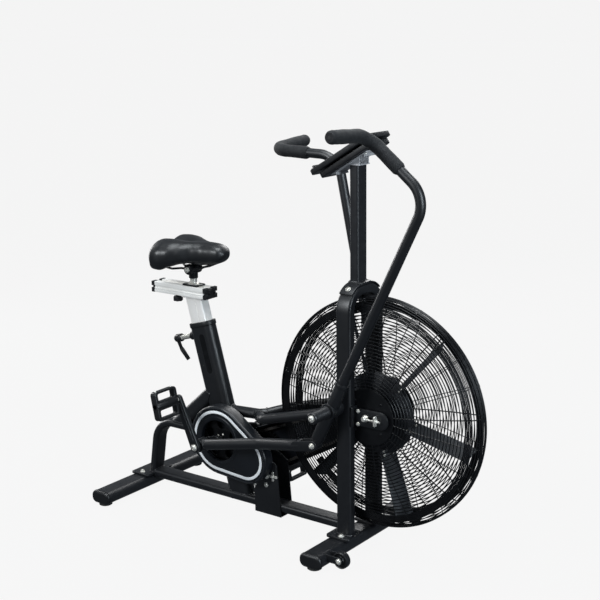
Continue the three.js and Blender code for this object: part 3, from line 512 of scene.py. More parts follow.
def printed():
    """The pale stripe on the drive cover, with small nicks."""
    f = Finish("stripe_paint", 0.38)
    nicks = f.ranged(f.noise(260, 5), 0.68, 0.72)
    f.color(f.mixed(f.math("MULTIPLY", nicks, 0.6), (0.92, 0.94, 0.95), (0.25, 0.25, 0.25)))
    f.bump(f.noise(700), 0.06, 0.0003)
    return f.material


def glazed(name, tone, roughness):
    f = Finish(name, roughness, Coat_Weight=1.0, Coat_Roughness=0.06)
    f.color(f.mixed(f.ranged(f.noise(25, 3), 0.3, 0.7), tone, tuple(1.3 * c for c in tone)))
    f.gloss(f.ranged(f.noise(40, 5), 0.4, 0.7, roughness, roughness + 0.08))
    f.bump(f.noise(160, 2), 0.02, 0.0005)
    return f.material


PAINT = painted("frame_paint", (0.0032, 0.0037, 0.0050), (0.0048, 0.0055, 0.0072), 0.42)
DECAL = painted("dark_decal", (0.0008, 0.0009, 0.0012), (0.0012, 0.0013, 0.0016), 0.22, 0.0)
ENAMEL = painted("black_enamel", (0.004, 0.0043, 0.005), (0.007, 0.0073, 0.0085), 0.34, 0.0, 0.22)
# Slate grey of the drum and paddles; the same colour also draws a painted edge highlight line on the drive
# cover.
BLADE = painted("paddle_paint_and_cover_highlight", (0.026, 0.029, 0.034), (0.036, 0.039, 0.044), 0.42, 0.0, 0.3)
CHAIN_STEEL = painted("chain_steel", (0.03, 0.028, 0.026), (0.06, 0.055, 0.05), 0.4)
RAIL_METAL = brushed("rail_aluminium", (0.96, 0.94, 0.90), (0.86, 0.84, 0.79), 0.12, 0.34, (8, 500, 500))
POST_METAL = brushed("post_aluminium", (0.97, 0.94, 0.90), (0.88, 0.85, 0.80), 0.12, 0.34, (500, 500, 8))
BRACKET_METAL = brushed("cast_silver", (0.46, 0.46, 0.47), (0.36, 0.36, 0.37), 0.3, 0.42, (60, 60, 60))
ZINC = plated()
PLASTIC = moulded("black_plastic", (0.0045, 0.0048, 0.0056), 0.42)
COVER_PLASTIC = moulded("cover_plastic", (0.0042, 0.0052, 0.0072), 0.34, 0.06)
# Near-black for the display well, the vent slots and the grip's vent hole: painted shade in holes and
# recesses.
HOLE_SHADE = moulded("hole_shade_black", (0.002, 0.002, 0.0022), 0.6)
RUBBER = rubbery()
FOAM = foamed()
LEATHER = leathered()
STRIPE = printed()
SCREEN = glazed("screen", (0.045, 0.055, 0.05), 0.12)
DIGITS = glazed("display_segments", (0.3, 0.34, 0.3), 0.4)


# ---- base ---------------------------------------------------------------------------------------
def welded(piece, section, point, heading, up, at, normal, radius=2.2):
    """A weld seam where a straight tube meets a plane."""
    side = heading.cross(up)
    loop = [on_plane(point + side * x + up * y, heading, at, normal) for x, y in section]
    piece.weld(loop, radius)


def base():
    low, high = span("main_beam")
    piece = Piece("beam_tube")
    middle = (low.z + high.z) / 2
    section = rounded(high.y - low.y, high.z - low.z, 9, 6)
    line = [(Vector((x, 0, middle)), X) for x in (low.x - 2, high.x + 2)]
    piece.sweep(section, line, Z, PAINT)
    for x in (low.x + 1, high.x - 1):
        loop = [Vector((x, y, middle + z)) for y, z in section]
        piece.weld(loop, 2.0)
    piece.finish("frame", "frame_paint", "main_beam")

    for end in ("rear", "front"):
        low, high = span(f"{end}_foot_right")
        x = (low.x + high.x) / 2
        tube_low, tube_high = span("rear_stabilizer")
        width, height = tube_high.x - tube_low.x, tube_high.z - tube_low.z
        level, half = (tube_low.z + tube_high.z) / 2, tube_high.y
        piece = Piece(f"{end}_cross_tube")
        section = rounded(width, height, 17.5, 8)
        line = [(Vector((x, y, level)), Y) for y in (-half, half)]
        piece.sweep(section, line, Z, PAINT)
        if end == "front":
            wheel_forks(piece, x + width / 2 - 5)
        piece.finish("frame", "frame_paint", f"{end}_stabilizer")
        for name, side in SIDES:
            end_cap(f"{end}_end_cap_{name}", x, side, level, width, height, f"{end}_cap_{name}")
            foot(f"{end}_foot_pad_{name}", x, f"{end}_foot_{name}")


def end_cap(name, x, side, level, width, height, node):
    """A domed cap with a shoulder against the tube and a shallow groove."""
    piece = Piece(name)
    low, high = span(node)
    inner = span("rear_stabilizer")[1].y
    outer = high.y if side > 0 else -low.y
    profile = [(2, -3), (2, 0), (-1.2, 0.4), (-1.2, 3), (0.2, 3.4), (0.2, 4.2), (-0.8, 4.6)]
    depth = outer - inner
    for k in range(1, 7):
        a = pi / 2 * k / 6
        profile.append((-0.8 + 9 * (1 - cos(a)), 4.6 + (depth - 4.6) * sin(a)))
    loops = []
    for inset, out in profile:
        loop = rounded(width - 2 * inset, height - 2 * inset, 17.5 - inset, 8)
        loops.append([Vector((x + u, side * (inner + out), level + v)) for u, v in loop])
    piece.loft(loops, PLASTIC)
    piece.finish("frame", "black_plastic", node)


def foot(name, x, node):
    low, high = span(node)
    centre = Vector((x, (low.y + high.y) / 2, 0))
    radius, top = (high.x - low.x) / 2, high.z
    piece = Piece(name)
    profile = [(0, 0), (radius - 2, 0), (radius, 1.5), (radius, 3), (radius - 1, 3.4), (radius - 1, 4.2),
               (radius, 4.6), (radius - 0.6, 6), (radius - 3, top), (0, top)]
    piece.turn(profile, centre, Z, RUBBER, 40)
    piece.turn(rod(10, top - 1, top + 1.2), centre, Z, ZINC, 6)
    piece.finish("frame", "rubber", node)


def wheel_forks(piece, back):
    for name, _ in SIDES:
        hub = axle(f"transport_wheel_{name}_spin")
        for low in (-16, 12):
            centre = Vector((hub.x, 0, hub.z))
            root = Vector((back, 0, hub.z))
            y = hub.y + low
            piece.slab([link(root, 11.5, centre, 11)], y, y + 4, PAINT, edge=0.8)


def wheels():
    for name, _ in SIDES:
        low, high = span(f"transport_wheel_{name}")
        hub = axle(f"transport_wheel_{name}_spin")
        radius, pin = (high.x - low.x) / 2, (high.y - low.y) / 2
        piece = Piece(f"wheel_{name}")
        tyre = [(4.6, -7), (9, -9.5), (12, -9.5), (14, -6), (19, -6), (20.5, -9), (radius - 3, -10)]
        tread = [(radius - 0.6, -8), (radius, -5), (radius, 5), (radius - 0.6, 8), (radius - 3, 10)]
        profile = tyre + tread + [(r, -y) for r, y in reversed(tyre)] + [tyre[0]]
        piece.turn(profile, hub, Y, PLASTIC, 48)
        piece.turn(rod(4.6, -pin, pin), hub, Y, ZINC, 20)
        for way in (-1, 1):
            piece.bolt(hub + Y * way * 16.2, Y * way, 7, ZINC, "dome")
        piece.finish(f"transport_wheel_{name}", "black_plastic", f"transport_wheel_{name}")


# ---- frame --------------------------------------------------------------------------------------
TILT = radians(15.5)
SEAT_AXIS = Vector((-sin(TILT), 0, cos(TILT)))
SEAT_FRONT = Vector((cos(TILT), 0, sin(TILT)))
SEAT_TOP = Vector((-668, 0, 600))
TUBE_ALONG, TUBE_ACROSS, TUBE_CORNER = 88, 50, 23
POST_ALONG, POST_ACROSS = 62, 38
LEG_LEVEL = 241
POST_X = -72


def on_seat(from_top, forward=0.0, aside=0.0):
    return SEAT_TOP + SEAT_AXIS * from_top + SEAT_FRONT * forward + Y * aside


def mast_depth(y):
    """How far forward of its axis the seat mast's round rear face stands, at a given y."""
    beyond = min(TUBE_CORNER, max(0, abs(y) - TUBE_ACROSS / 2 + TUBE_CORNER))
    return TUBE_CORNER - sqrt(TUBE_CORNER ** 2 - beyond ** 2) - TUBE_ALONG / 2


def seat_mast():
    crank = axle("crank_spin")
    piece = Piece("seat_mast")
    section = rounded(TUBE_ACROSS, TUBE_ALONG, TUBE_CORNER, 10)
    line = [(on_seat(d), SEAT_AXIS) for d in (-574, -300, -8)]
    piece.sweep(section, line, SEAT_FRONT, PAINT)
    collar_loops = []
    for grow, level in (
        (0, -14), (2, -12), (2.4, -10), (2.4, 0.5), (1.6, 2), (-1, 2.4), (-4, 2.2), (-5.5, 1), (-5.7, -12),
    ):
        loop = rounded(TUBE_ACROSS + 2 * grow, TUBE_ALONG + 2 * grow, TUBE_CORNER + grow, 10)
        if grow <= -5.5:
            loop = rounded(POST_ACROSS + 0.8, POST_ALONG + 0.8, 5, 10)
        collar_loops.append([on_seat(level, v, u) for u, v in loop])
    piece.loft(collar_loops, PLASTIC)
    turned = Matrix.Translation(on_seat(-100, 5)) @ Matrix.Rotation(-TILT, 4, "Y") @ FLAT_XZ
    for side in (-1, 1):
        faces = flip(side, TUBE_ACROSS / 2 - 0.3, TUBE_ACROSS / 2 + 0.35)
        piece.slab([block(21, 128, 10.4, 8)], *faces, DECAL, turned, edge=0.2, steps=1)
    piece.turn(ring(11, 24, -27, 27, 2), crank, Y, PAINT, 48)
    upper = [Vector((-600, 0, 325)), Vector((-440, 0, 335))]
    piece.tube(upper, 17, PAINT, sides=32)
    heading = (upper[1] - upper[0]).normalized()
    welded(piece, circle(17.5, 32), upper[0], heading, Z, on_seat(0, TUBE_ALONG / 2), SEAT_FRONT)
    welded(piece, [(x * 1.01, y * 1.01) for x, y in section], SEAT_TOP, SEAT_AXIS, SEAT_FRONT,
           Vector((0, 0, span("main_beam")[1].z)), Z, 2.6)
    rear = -SEAT_FRONT
    boss = on_seat(-38, -TUBE_ALONG / 2)
    nose = [(0, -2), (15, -2), (15, 1), (13.2, 3), (13.2, 13), (12, 14.5), (0, 14.5)]
    piece.turn(nose, boss, rear, PAINT, 40)
    thread = [(0, 14)]
    for k in range(28):
        thread += [(8.2, 14 + 2 * k), (7.1, 15 + 2 * k)]
    piece.turn(thread + [(7, 70), (0, 70)], boss, rear, ZINC, 24)
    piece.finish("frame", "frame_paint", "seat_tube")


def rear_strut():
    """The bent rear leg, its brace to the seat mast, and its foot plate."""
    low = span("rear_leg")[0]
    piece = Piece("rear_strut")
    base_top = span("rear_stabilizer")[1].z
    leg = [Vector((-891, 0, base_top + 3)), Vector((-862, 0, LEG_LEVEL)), Vector((-590, 0, LEG_LEVEL))]
    piece.sweep(rounded(54, 24, 10.5, 8), bent(leg, 78, 20), X, PAINT)
    brace = [Vector((-792, 0, 228)), Vector((-606, 0, 392))]
    heading = (brace[1] - brace[0]).normalized()
    up = (Z - heading * heading.z).normalized()
    side = heading.cross(up)
    start = [brace[0] + side * x + up * y for x, y in rounded(49.4, 49, 16, 8)]
    loops = [[on_plane(p, heading, Z * (LEG_LEVEL - 3), Z) for p in start]]
    for scale in (1, 0.96, 0.9, 0.8, 0.6, 0.35, 0.05):  # the hidden end follows the mast's round face
        loop = [brace[0] + (p - brace[0]) * scale for p in start]
        loops.append([on_plane(p, heading, on_seat(0, mast_depth(p.y) + 2), SEAT_FRONT) for p in loop])
    piece.loft(loops, PAINT)
    leg_top = [on_plane(p, heading, Z * (LEG_LEVEL + 12.5), Z) for p in start]
    piece.weld(leg_top, 2.2)
    seam = []
    for x, y in circle(1, 64):
        at = brace[0] + Y * x * 25.4 + up * y * 25
        seam.append(on_plane(at, heading, on_seat(0, mast_depth(at.y)), SEAT_FRONT))
    piece.weld(seam, 2.4)
    high_x = span("main_beam")[0].x
    middle = level((low.x + high_x) / 2)
    piece.slab([block(high_x - low.x, 124, 8, 6)], base_top + 0.2, base_top + 7, PAINT, middle, edge=1.2)
    for side in (-1, 1):
        piece.bolt(Vector((-914, side * 46, base_top + 7)), Z, 6.5, ZINC)
    loop = [Vector((-889 + u, v, base_top + 8)) for u, v in rounded(24.5, 54.5, 10)]
    piece.weld(loop, 2.6)
    piece.finish("frame", "frame_paint", "rear_leg")


def side_tubes():
    for name, side in SIDES:
        piece = Piece(f"side_tube_{name}")
        route = [Vector((x, side * y, z)) for x, y, z in
                 ((-446, 4, 335), (-428, 18, 336), (-376, 73.4, 350), (-88, 73.4, 431))]
        piece.tube(route, 15.5, PAINT, [24, 60], 32, up=Z)
        last = (route[3] - route[2]).normalized()
        welded(piece, circle(16, 32), route[2], last, Y, Vector((-92, 0, 0)), X)
        first = (route[2] - route[1]).normalized()
        piece.weld([route[1] + first.cross(Z) * x + Z * y for x, y in circle(16.5, 32)], 2.2)
        piece.finish("frame", "frame_paint", f"side_rail_{name}")


def front_arch():
    x, y, across, deep = -67, 74, 30, 50
    top = span("front_arch")[1].z - across / 2
    bottom = span("front_stabilizer")[1].z
    piece = Piece("arch_tube")
    corners = [(x, -y, bottom + 6), (x, -y, top), (x, y, top), (x, y, bottom + 6)]
    section = rounded(across, deep, 8.5, 7)
    piece.sweep(section, bent(corners, 58, 18), X, PAINT)
    for side in (-1, 1):
        middle = level(x - 5, side * y)
        piece.slab([block(82, 80, 8, 6)], bottom + 0.3, bottom + 9, PAINT, middle, edge=1.5)
        loop = [Vector((x + v, side * y + u, bottom + 10)) for u, v in rounded(across + 1, deep + 1, 9)]
        piece.weld(loop, 2.6)
        for offset in (28, -28):
            piece.bolt(Vector((x + 2, side * (y + offset), bottom + 9)), Z, 7.5, ZINC, "dome")
    piece.finish("frame", "frame_paint", "front_arch")


def console_mast():
    """The console's post, on a plate with a strap that is bent over the arch's top bow."""
    low, high = span("console_post")
    piece = Piece("console_mast")
    middle_x = (low.x + high.x) / 2
    middle = level(middle_x)
    piece.slab([block(high.x - low.x, 56, 6, 6)], low.z, low.z + 7, PAINT, middle, edge=1.2)
    flat, bend, strap_z = 16, 76, low.z + 2.8
    strap = []
    for k in range(-14, 15):
        a = radians(3.3 * k)
        start = copysign(flat, k) if k else 0
        point = Vector((middle_x, start + bend * sin(a), strap_z - bend * (1 - cos(a))))
        strap.append((point, Vector((0, cos(a), -sin(a)))))
    piece.sweep(rounded(46, 5, 2.2, 4), strap, Z, PAINT)
    line = [(Vector((POST_X, 0, z)), Z) for z in (low.z + 4, high.z - 0.5)]
    piece.sweep(rounded(48, 30, 7, 7), line, X, PAINT)
    piece.weld([Vector((POST_X + v, u, low.z + 8)) for u, v in rounded(49, 31, 7)], 2.2)
    lean = radians(33)
    for side in (-1, 1):
        out = Vector((0, side * sin(lean), cos(lean)))
        centre = Vector((middle_x, side * flat, strap_z - bend))
        piece.bolt(centre + out * (bend + 2.4), out, 6.5, ZINC, "dome")
    piece.finish("frame", "frame_paint", "console_post")


# ---- console ------------------------------------------------------------------------------------
SLOPE = radians(31.3)
CONSOLE_AT = Matrix.Translation((-104, 0, 1177)) @ Matrix.Rotation(-SLOPE, 4, "Y")
CONSOLE_LENGTH, CONSOLE_WIDTH = 222, 130


def console():
    key_x, key_y = -CONSOLE_LENGTH / 2 + 38, 20
    piece = Piece("console_front", CONSOLE_AT)
    window = moved(hole(118, 102, 4), 20, 0)
    key_holes = [moved(lambda inset: circle(8.4 + inset, 28), key_x, s * key_y) for s in (-1, 1)]
    face = [block(CONSOLE_LENGTH, CONSOLE_WIDTH, 14), window, *key_holes]
    piece.slab(face, -15, 0, PLASTIC, LEVEL, edge=1.8)
    # A near-black liner fills the display well under the screen: painted shade in the recess.
    piece.slab([moved(hole(116, 100, 3), 20, 0)], -14, -5, HOLE_SHADE, LEVEL, edge=0.5)
    piece.slab([moved(block(7, 78, 3), -CONSOLE_LENGTH / 2 + 3, 0)], -8, 13, PLASTIC, LEVEL, edge=2.4)
    for sx in (-1, 1):
        for sy in (-1, 1):
            at = Vector((sx * (CONSOLE_LENGTH / 2 - 9), sy * (CONSOLE_WIDTH / 2 - 9), 0))
            piece.bolt(at, Z, 3, ENAMEL, "dome")
    piece.finish("frame", "black_plastic", "console_face")

    piece = Piece("console_window", CONSOLE_AT)
    piece.slab([moved(block(117.4, 101.4, 3.6), 20, 0)], -4.6, -0.9, SCREEN, LEVEL, edge=0.8)
    for row, digits in enumerate((4, 3, 3)):
        for k in range(digits):
            at = (58 - 36 * row, (k - (digits - 1) / 2) * 20)
            seven_segments(piece, at, 8.5, 13)
    piece.finish("frame", "screen", "console_lens")

    piece = Piece("console_back", CONSOLE_AT)
    case = moved(block(CONSOLE_LENGTH - 26, CONSOLE_WIDTH - 22, 12), 6, 0)
    neck = moved(block(CONSOLE_LENGTH - 60, CONSOLE_WIDTH - 50, 8), 10, 0)
    piece.slab([case], -35, -19, PLASTIC, LEVEL, edge=2.2)
    piece.slab([neck], -20, -15, PLASTIC, LEVEL, edge=0.5)
    # Seven near-black bars on the case's underside stand for vent slots: painted shade, not openings.
    for k in range(7):
        piece.slab([moved(block(3, 46, 1.4), 62 - 9 * k, 0)], -36, -34, HOLE_SHADE, LEVEL, edge=0.4)
    piece.finish("frame", "black_plastic", "console_case")

    for number, side in ((1, -1), (2, 1)):
        piece = Piece(f"key_{number}", CONSOLE_AT)
        centre = Vector((key_x, side * key_y, 0))
        cap = [(0, -8), (7.9, -8), (7.9, 1.2), (7.3, 2.1), (6, 2.5), (4, 2.2), (0, 2.0)]
        piece.turn(cap, centre, Z, PLASTIC, 36)
        piece.turn(ring(4.6, 5.6, 1.8, 2.6), centre, Z, STRIPE, 36)
        piece.finish(f"console_key_{number}", "black_plastic", f"console_key_{number}")
    console_bracket()


def seven_segments(piece, at, width, height):
    """One digit of the display, as seven thin bars."""
    x, y = at
    bar = 1.5
    bars = [moved(block(bar, width - bar, 0.7), x + dx * height / 2, y) for dx in (-1, 0, 1)]
    for dx in (-0.5, 0.5):
        for dy in (-0.5, 0.5):
            bars.append(moved(block(height / 2 - bar, bar, 0.7), x + dx * height / 2, y + dy * width))
    for shape in bars:
        piece.slab([shape], -0.95, -0.75, DIGITS, LEVEL, edge=0.08, steps=1)


def console_bracket():
    top = span("console_post")[1].z
    piece = Piece("console_mount", CONSOLE_AT)
    piece.slab([moved(block(144, 68, 6), 2, 0)], -38.6, -35.4, BRACKET_METAL, LEVEL, edge=0.8)
    for side in (-1, 1):
        piece.slab([moved(block(3, 60, 1), 2 + side * 55, 0)], -46, -37, BRACKET_METAL, LEVEL, edge=0.6)
        for dx in (-58, 62):
            piece.bolt(Vector((dx, side * 24, -38.6)), -Z, 4, ZINC, "dome")
    piece.at = LEVEL
    post = level(POST_X)
    piece.slab([block(44, 56, 4)], top + 0.3, top + 4, BRACKET_METAL, post, edge=0.8)
    under, slope = CONSOLE_AT @ Vector((0, 0, -37)), CONSOLE_AT.to_3x3() @ Z
    cheek = [(-90, top + 3), (-52, top + 3)]
    for x in (-52, -90):
        cheek.append((x, on_plane(Vector((x, 0, top)), Z, under, slope).z))
    for y in (-24, 22):
        piece.slab([polygon(cheek)], y, y + 2.5, BRACKET_METAL, edge=0.6)
    piece.finish("frame", "silver", "console_bracket")


# ---- pedal drive --------------------------------------------------------------------------------
CRANK = axle("crank_spin")
JACK = axle("jackshaft_spin")
FAN = axle("fan_spin")
THROW, THROW_ANGLE = 38, 14      # of the crank webs' pins for the push rods
CHAINWHEEL, JACK_FIRST, JACK_SECOND, FAN_WHEEL = 84, 28, 60, 30     # sprocket radii
FIRST_CHAIN_Y, SECOND_CHAIN_Y = -48, 46
CHAIN_PITCH, LINK_HALF = 12.7, 0.4
ARM, PEDAL, BRACKET = (126, 141), (146, 242), (27.3, 31.3)         # inner and outer |y|
PEDAL_TILT = radians(78)
PINS = {side: about(CRANK, side * THROW, 0, THROW_ANGLE) for side in (-1, 1)}


def sprocket(piece, centre, radius, teeth, y, holes, axle_radius):
    """A toothed wheel for a 12.7 mm chain, with lightening holes."""
    tooth = (0, 0.35, 0.9, 1, 0.9, 0.35)
    turns = circle(1, teeth * len(tooth))

    def rim(inset):
        radii = [radius - 4 + 5.5 * tooth[k % len(tooth)] - inset for k in range(len(turns))]
        return [(centre.x + r * x, centre.z + r * y) for r, (x, y) in zip(radii, turns)]

    shapes = [rim, bore(axle_radius, 32, centre)]
    for k in range(holes):
        shapes.append(bore(radius * 0.2, 24, about(centre, radius * 0.6, 0, 90 + 360 * k / holes)))
    piece.slab(shapes, y - 2.2, y + 2.2, ENAMEL, edge=0.5, steps=2)


def cranks():
    piece = Piece("crank_spindle")
    piece.turn(rod(10.6, -76, 76, 1.6, 2), CRANK, Y, ENAMEL, 32)
    for side in (-1, 1):
        piece.slab([link(CRANK, 20, PINS[side], 17)], *flip(side, 73, 84), ENAMEL, edge=2)
        piece.turn([(0, 83), (9, 83), (9, 85), (8, 86), (0, 86)], CRANK, Y * side, ZINC, 24)
    piece.finish("crank", "black_steel", "crank_axle")

    piece = Piece("chainwheel")
    sprocket(piece, CRANK, CHAINWHEEL, 42, FIRST_CHAIN_Y, 5, 10.9)
    piece.turn(ring(10.9, 22, -47, -40), CRANK, Y, ENAMEL, 32)
    for k in range(5):
        piece.bolt(about(CRANK, 17, -50.3, 72 * k), -Y, 3, ZINC, "dome")
    piece.finish("crank", "black_steel", "crank_sprocket")

    for name, side in SIDES:
        pedal = axle(f"pedal_{name}_spin")
        pedal.y = 0
        pin = PINS[side]
        piece = Piece(f"crank_{name}")
        piece.slab([link(pin, 17, pedal, 13)], *flip(side, *ARM), PAINT, edge=3.5, steps=5)
        ridge = link(pin.lerp(pedal, 0.14), 8.5, pedal.lerp(pin, 0.12), 6.5)
        piece.slab([ridge], *flip(side, 139, 142.4), PAINT, edge=1.2)
        piece.bolt(pin + Y * side * ARM[1], Y * side, 8.5, ZINC, "dome")
        piece.turn([(0, 138), (6, 138), (6, 236), (5, 238), (0, 238)], pedal, Y * side, ZINC, 24)
        piece.turn(ring(5, 9, 141, 145), pedal, Y * side, ZINC, 6)
        piece.finish("crank", "frame_paint", f"crank_arm_{name}")
        cage_pedal(name, side, pedal)


def cage_pedal(name, side, pedal):
    """An open cage round a spindle housing, with grip teeth on its long sides."""
    middle = side * sum(PEDAL) / 2
    at = Matrix.Translation((pedal.x, middle, pedal.z)) @ Matrix.Rotation(PEDAL_TILT, 4, "Y")
    piece = Piece(f"cage_pedal_{name}", at)
    windows = [moved(hole(24, 72, 5), s * 26, 0) for s in (-1, 1)]
    piece.slab([block(92, 96, 12), *windows], -11, 11, PLASTIC, LEVEL, edge=2)
    piece.turn(ring(6.6, 14, -46, 46, 2, 3), Vector(), Y, PLASTIC, 32)
    for way in (-1, 1):
        for k in range(9):
            for face in (-1, 1):
                at = Vector((way * 42, (k - 4) * 9.4, face * 10.4))
                piece.turn([(0, 0), (2.6, 0), (1.8, 1.9), (0, 2.1)], at, Z * face, PLASTIC, 4)
        for k in (-1, 1):
            piece.bolt(Vector((way * 45.6, k * 34, 0)), X * way, 3.2, ZINC, "dome")
    piece.turn([(0, 45), (9, 45), (9, 47.4), (7, 48), (0, 48)], Vector(), Y * side, PLASTIC, 24)
    piece.finish(f"pedal_{name}", "black_plastic", f"pedal_{name}")


def jackshaft():
    piece = Piece("jack_spindle")
    piece.turn(rod(8, -62, 56, 1, 2), JACK, Y, ENAMEL, 24)
    piece.turn(ring(8, 13, -44, -35.5), JACK, Y, ENAMEL, 24)
    sprocket(piece, JACK, JACK_FIRST, 14, FIRST_CHAIN_Y, 0, 7.5)
    sprocket(piece, JACK, JACK_SECOND, 30, SECOND_CHAIN_Y, 4, 7.5)
    piece.finish("jackshaft", "black_steel", "jackshaft")

    piece = Piece("jack_bracket")
    corners = [(-444, 24), (-342, 24), (-357, 193), (-424, 232), (-478, 246), (-478, 110), (-444, 110)]
    for side in (-1, 1):
        piece.slab([polygon(corners), bore(8.8, 24, JACK)], *flip(side, *BRACKET), PAINT, edge=1, steps=2)
        face = Y * side * BRACKET[1]
        for x, z, size in ((-421, 166, 6), (-398, 121, 6), (-442, 113, 4)):
            piece.bolt(Vector((x, 0, z)) + face, Y * side, size, ZINC, "dome")
        piece.bolt(Vector((-396, 0, 152)) + face, Y * side, 8.5, ZINC)
        tensioner(piece, Vector((-370, 0, 154)) + face, side)
    floor = level(-393)
    piece.slab([block(102, 62, 3)], 24, 28, PAINT, floor, edge=1)
    piece.finish("frame", "frame_paint", "drive_bracket")


def tensioner(piece, at, side):
    """A small cross plate with a screw that pulls an axle along its slot."""
    place = Matrix.Translation(at) @ FLAT_XZ
    for width, height in ((34, 8), (8, 30)):
        piece.slab([block(width, height, 2.5)], *flip(side, 0, 3), ZINC, place, edge=0.6)
    piece.bolt(at + Y * side * 3, Y * side, 4.5, ZINC)


def chain(name, a, radius_a, b, radius_b, y, node):
    """A roller chain round two sprockets: rollers, with inner and outer side plates in turn."""
    loop = [Vector((x, y, z)) for x, z in belt(a, radius_a, b, radius_b, 60)]
    steps = [(q - p).length for p, q in zip(loop, loop[1:] + loop[:1])]
    total = sum(steps)
    count = 2 * round(total / CHAIN_PITCH / 2)
    pins = []
    walked, k = 0.0, 0
    for n in range(count):
        goal = total * n / count
        while walked + steps[k] < goal:
            walked += steps[k]
            k += 1
        pins.append(loop[k].lerp(loop[(k + 1) % len(loop)], (goal - walked) / steps[k]))
    piece = Piece(name)
    for n, pin in enumerate(pins):
        ahead = pins[(n + 1) % count]
        piece.turn(rod(3.9, -3.6, 3.6, 1.7, 1), pin, Y, CHAIN_STEEL, 8)
        out = 3.3 if n % 2 else 2.5
        for side in (-1, 1):
            low, high = flip(side, out - LINK_HALF, out + LINK_HALF)
            piece.slab([link(pin, 4.1, ahead, 4.0, 3)],
                       y + low, y + high, CHAIN_STEEL, edge=0.15, steps=1)
    piece.finish("frame", "black_steel", node)


def tray(piece, a, radius_a, b, radius_b, face, open_side, wall, finish, holes=(), edge=6):
    """A shallow shell round two pulleys: a plate with a round shoulder and a rim behind it."""
    toward = copysign(1, open_side - face)
    bends = [pi / 2 * k / 6 for k in range(7)]
    outer = [(edge * (1 - sin(t)), face + toward * edge * (1 - cos(t))) for t in bends]
    rows = outer + [(0, open_side), (wall, open_side), (wall, face + toward * (wall + 2))]
    rows += [(edge, face + toward * wall)]
    shape = link(a, radius_a, b, radius_b)
    loops = [[Vector((x, y, z)) for x, z in shape(inset)] for inset, y in rows]
    n = len(loops[0])
    faces = []
    for row in range(len(loops) - 1):
        i, j = row * n, (row + 1) * n
        faces.extend((i + k, i + (k + 1) % n, j + (k + 1) % n, j + k) for k in range(n))
    points = [p for loop in loops for p in loop]
    rims = [list(range(n)), list(range((len(loops) - 1) * n, len(loops) * n))]
    flat = [[Vector((p.x, p.z, 0)) for p in loops[0]]]
    for loop in holes:
        start = len(points)
        m = len(loop)
        for rim, y in zip(rims, (rows[0][1], rows[-1][1])):
            rim.extend(range(len(points), len(points) + m))
            points.extend(Vector((x, y, z)) for x, z in loop)
        for k in range(m):
            after = (k + 1) % m
            faces.append((start + k, start + after, start + m + after, start + m + k))
        flat.append([Vector((x, z, 0)) for x, z in loop])
    for triangle in tessellate_polygon(flat):
        faces.extend(tuple(rim[i] for i in triangle) for rim in rims)
    piece.add(points, faces, finish)


BIG, SMALL = 112, 81
WINDOW = 66


def covers():
    low, high = span("drive_cover_outer")
    face, open_side = low.y, high.y
    at_crank = [(x + CRANK.x, z + CRANK.z) for x, z in circle(WINDOW + 2, 72)]
    piece = Piece("cover_shell")
    tray(piece, CRANK, BIG, JACK, SMALL, face, open_side, 3, COVER_PLASTIC, [at_crank])
    # Two bands follow the outline: the pale stripe, which is print, and a thin slate-grey line where the
    # flat face turns into the round shoulder, a painted edge highlight.
    for outer, inner, back, front, paint, edge, steps in (
        (14, 23, 0.7, 0.5, STRIPE, 0.3, 2), (5.2, 6.4, 0.5, 0.4, BLADE, 0.2, 1),
    ):
        band = [link(CRANK, BIG - outer, JACK, SMALL - outer),
                link_hole(CRANK, BIG - inner, JACK, SMALL - inner)]
        piece.slab(band, face - back, face + front, paint, edge=edge, steps=steps)
    profile = [(WINDOW, 12), (WINDOW, 0.6), (WINDOW + 2, -1.4), (WINDOW + 9, -2.0), (WINDOW + 12, -1.4),
               (WINDOW + 13.4, 0.4), (WINDOW + 3, 1), (WINDOW + 3, 12), (WINDOW, 12)]
    piece.turn(profile, Vector((CRANK.x, face, CRANK.z)), Y, COVER_PLASTIC, 96)
    for centre, radius, angles in ((CRANK, BIG - 8, (62, 118, 242, 306)), (JACK, SMALL - 8, (-62, 8, 62))):
        for angle in angles:
            piece.bolt(about(centre, radius, face + 0.2, angle), -Y, 3.4, ENAMEL, "dome")
    piece.finish("frame", "black_plastic", "drive_cover_outer")

    piece = Piece("cover_back")
    holes = [bore(14, 28, p) for p in (CRANK, JACK)]
    piece.slab([link(CRANK, BIG, JACK, SMALL), *holes], -35, -32, COVER_PLASTIC, edge=0.8)
    piece.finish("frame", "black_plastic", "drive_cover_inner")

    low, high = span("fan_chain_guard")
    piece = Piece("guard_shell")
    bores = [[(x + p.x, z + p.z) for x, z in circle(14, 28)] for p in (JACK, FAN)]
    tray(piece, JACK, 76, FAN, 48, high.y, low.y, 2.5, COVER_PLASTIC, bores, edge=5)
    for t in (0.2, 0.8):
        at = JACK.lerp(FAN, t)
        for way in (-1, 1):
            piece.bolt(Vector((at.x, high.y, at.z + way * 38)), Y, 3.4, ENAMEL, "dome")
    piece.finish("frame", "black_plastic", "fan_chain_guard")


# ---- fan ----------------------------------------------------------------------------------------
HUB, RIM = 84, 345
RING_PITCH, SPOKES = 10, 24
BLADES, BLADE_FIRST, BLADE_TILT = 6, 12.4, radians(118)


def dome(radius):
    """How far the cage's face stands from its middle plane."""
    t = min(1, max(0, (radius - HUB) / (RIM - HUB)))
    return 24 + 34 * cos(t * pi / 2) ** 0.8


def in_guard(x, z, margin):
    """True where the chain guard's slot runs through the left half of the cage."""
    line = JACK - FAN
    t = min(1, max(0, ((x - FAN.x) * line.x + (z - FAN.z) * line.z) / line.length_squared))
    near = FAN + line * t
    return hypot(x - near.x, z - near.z) < 48 + 28 * t + margin


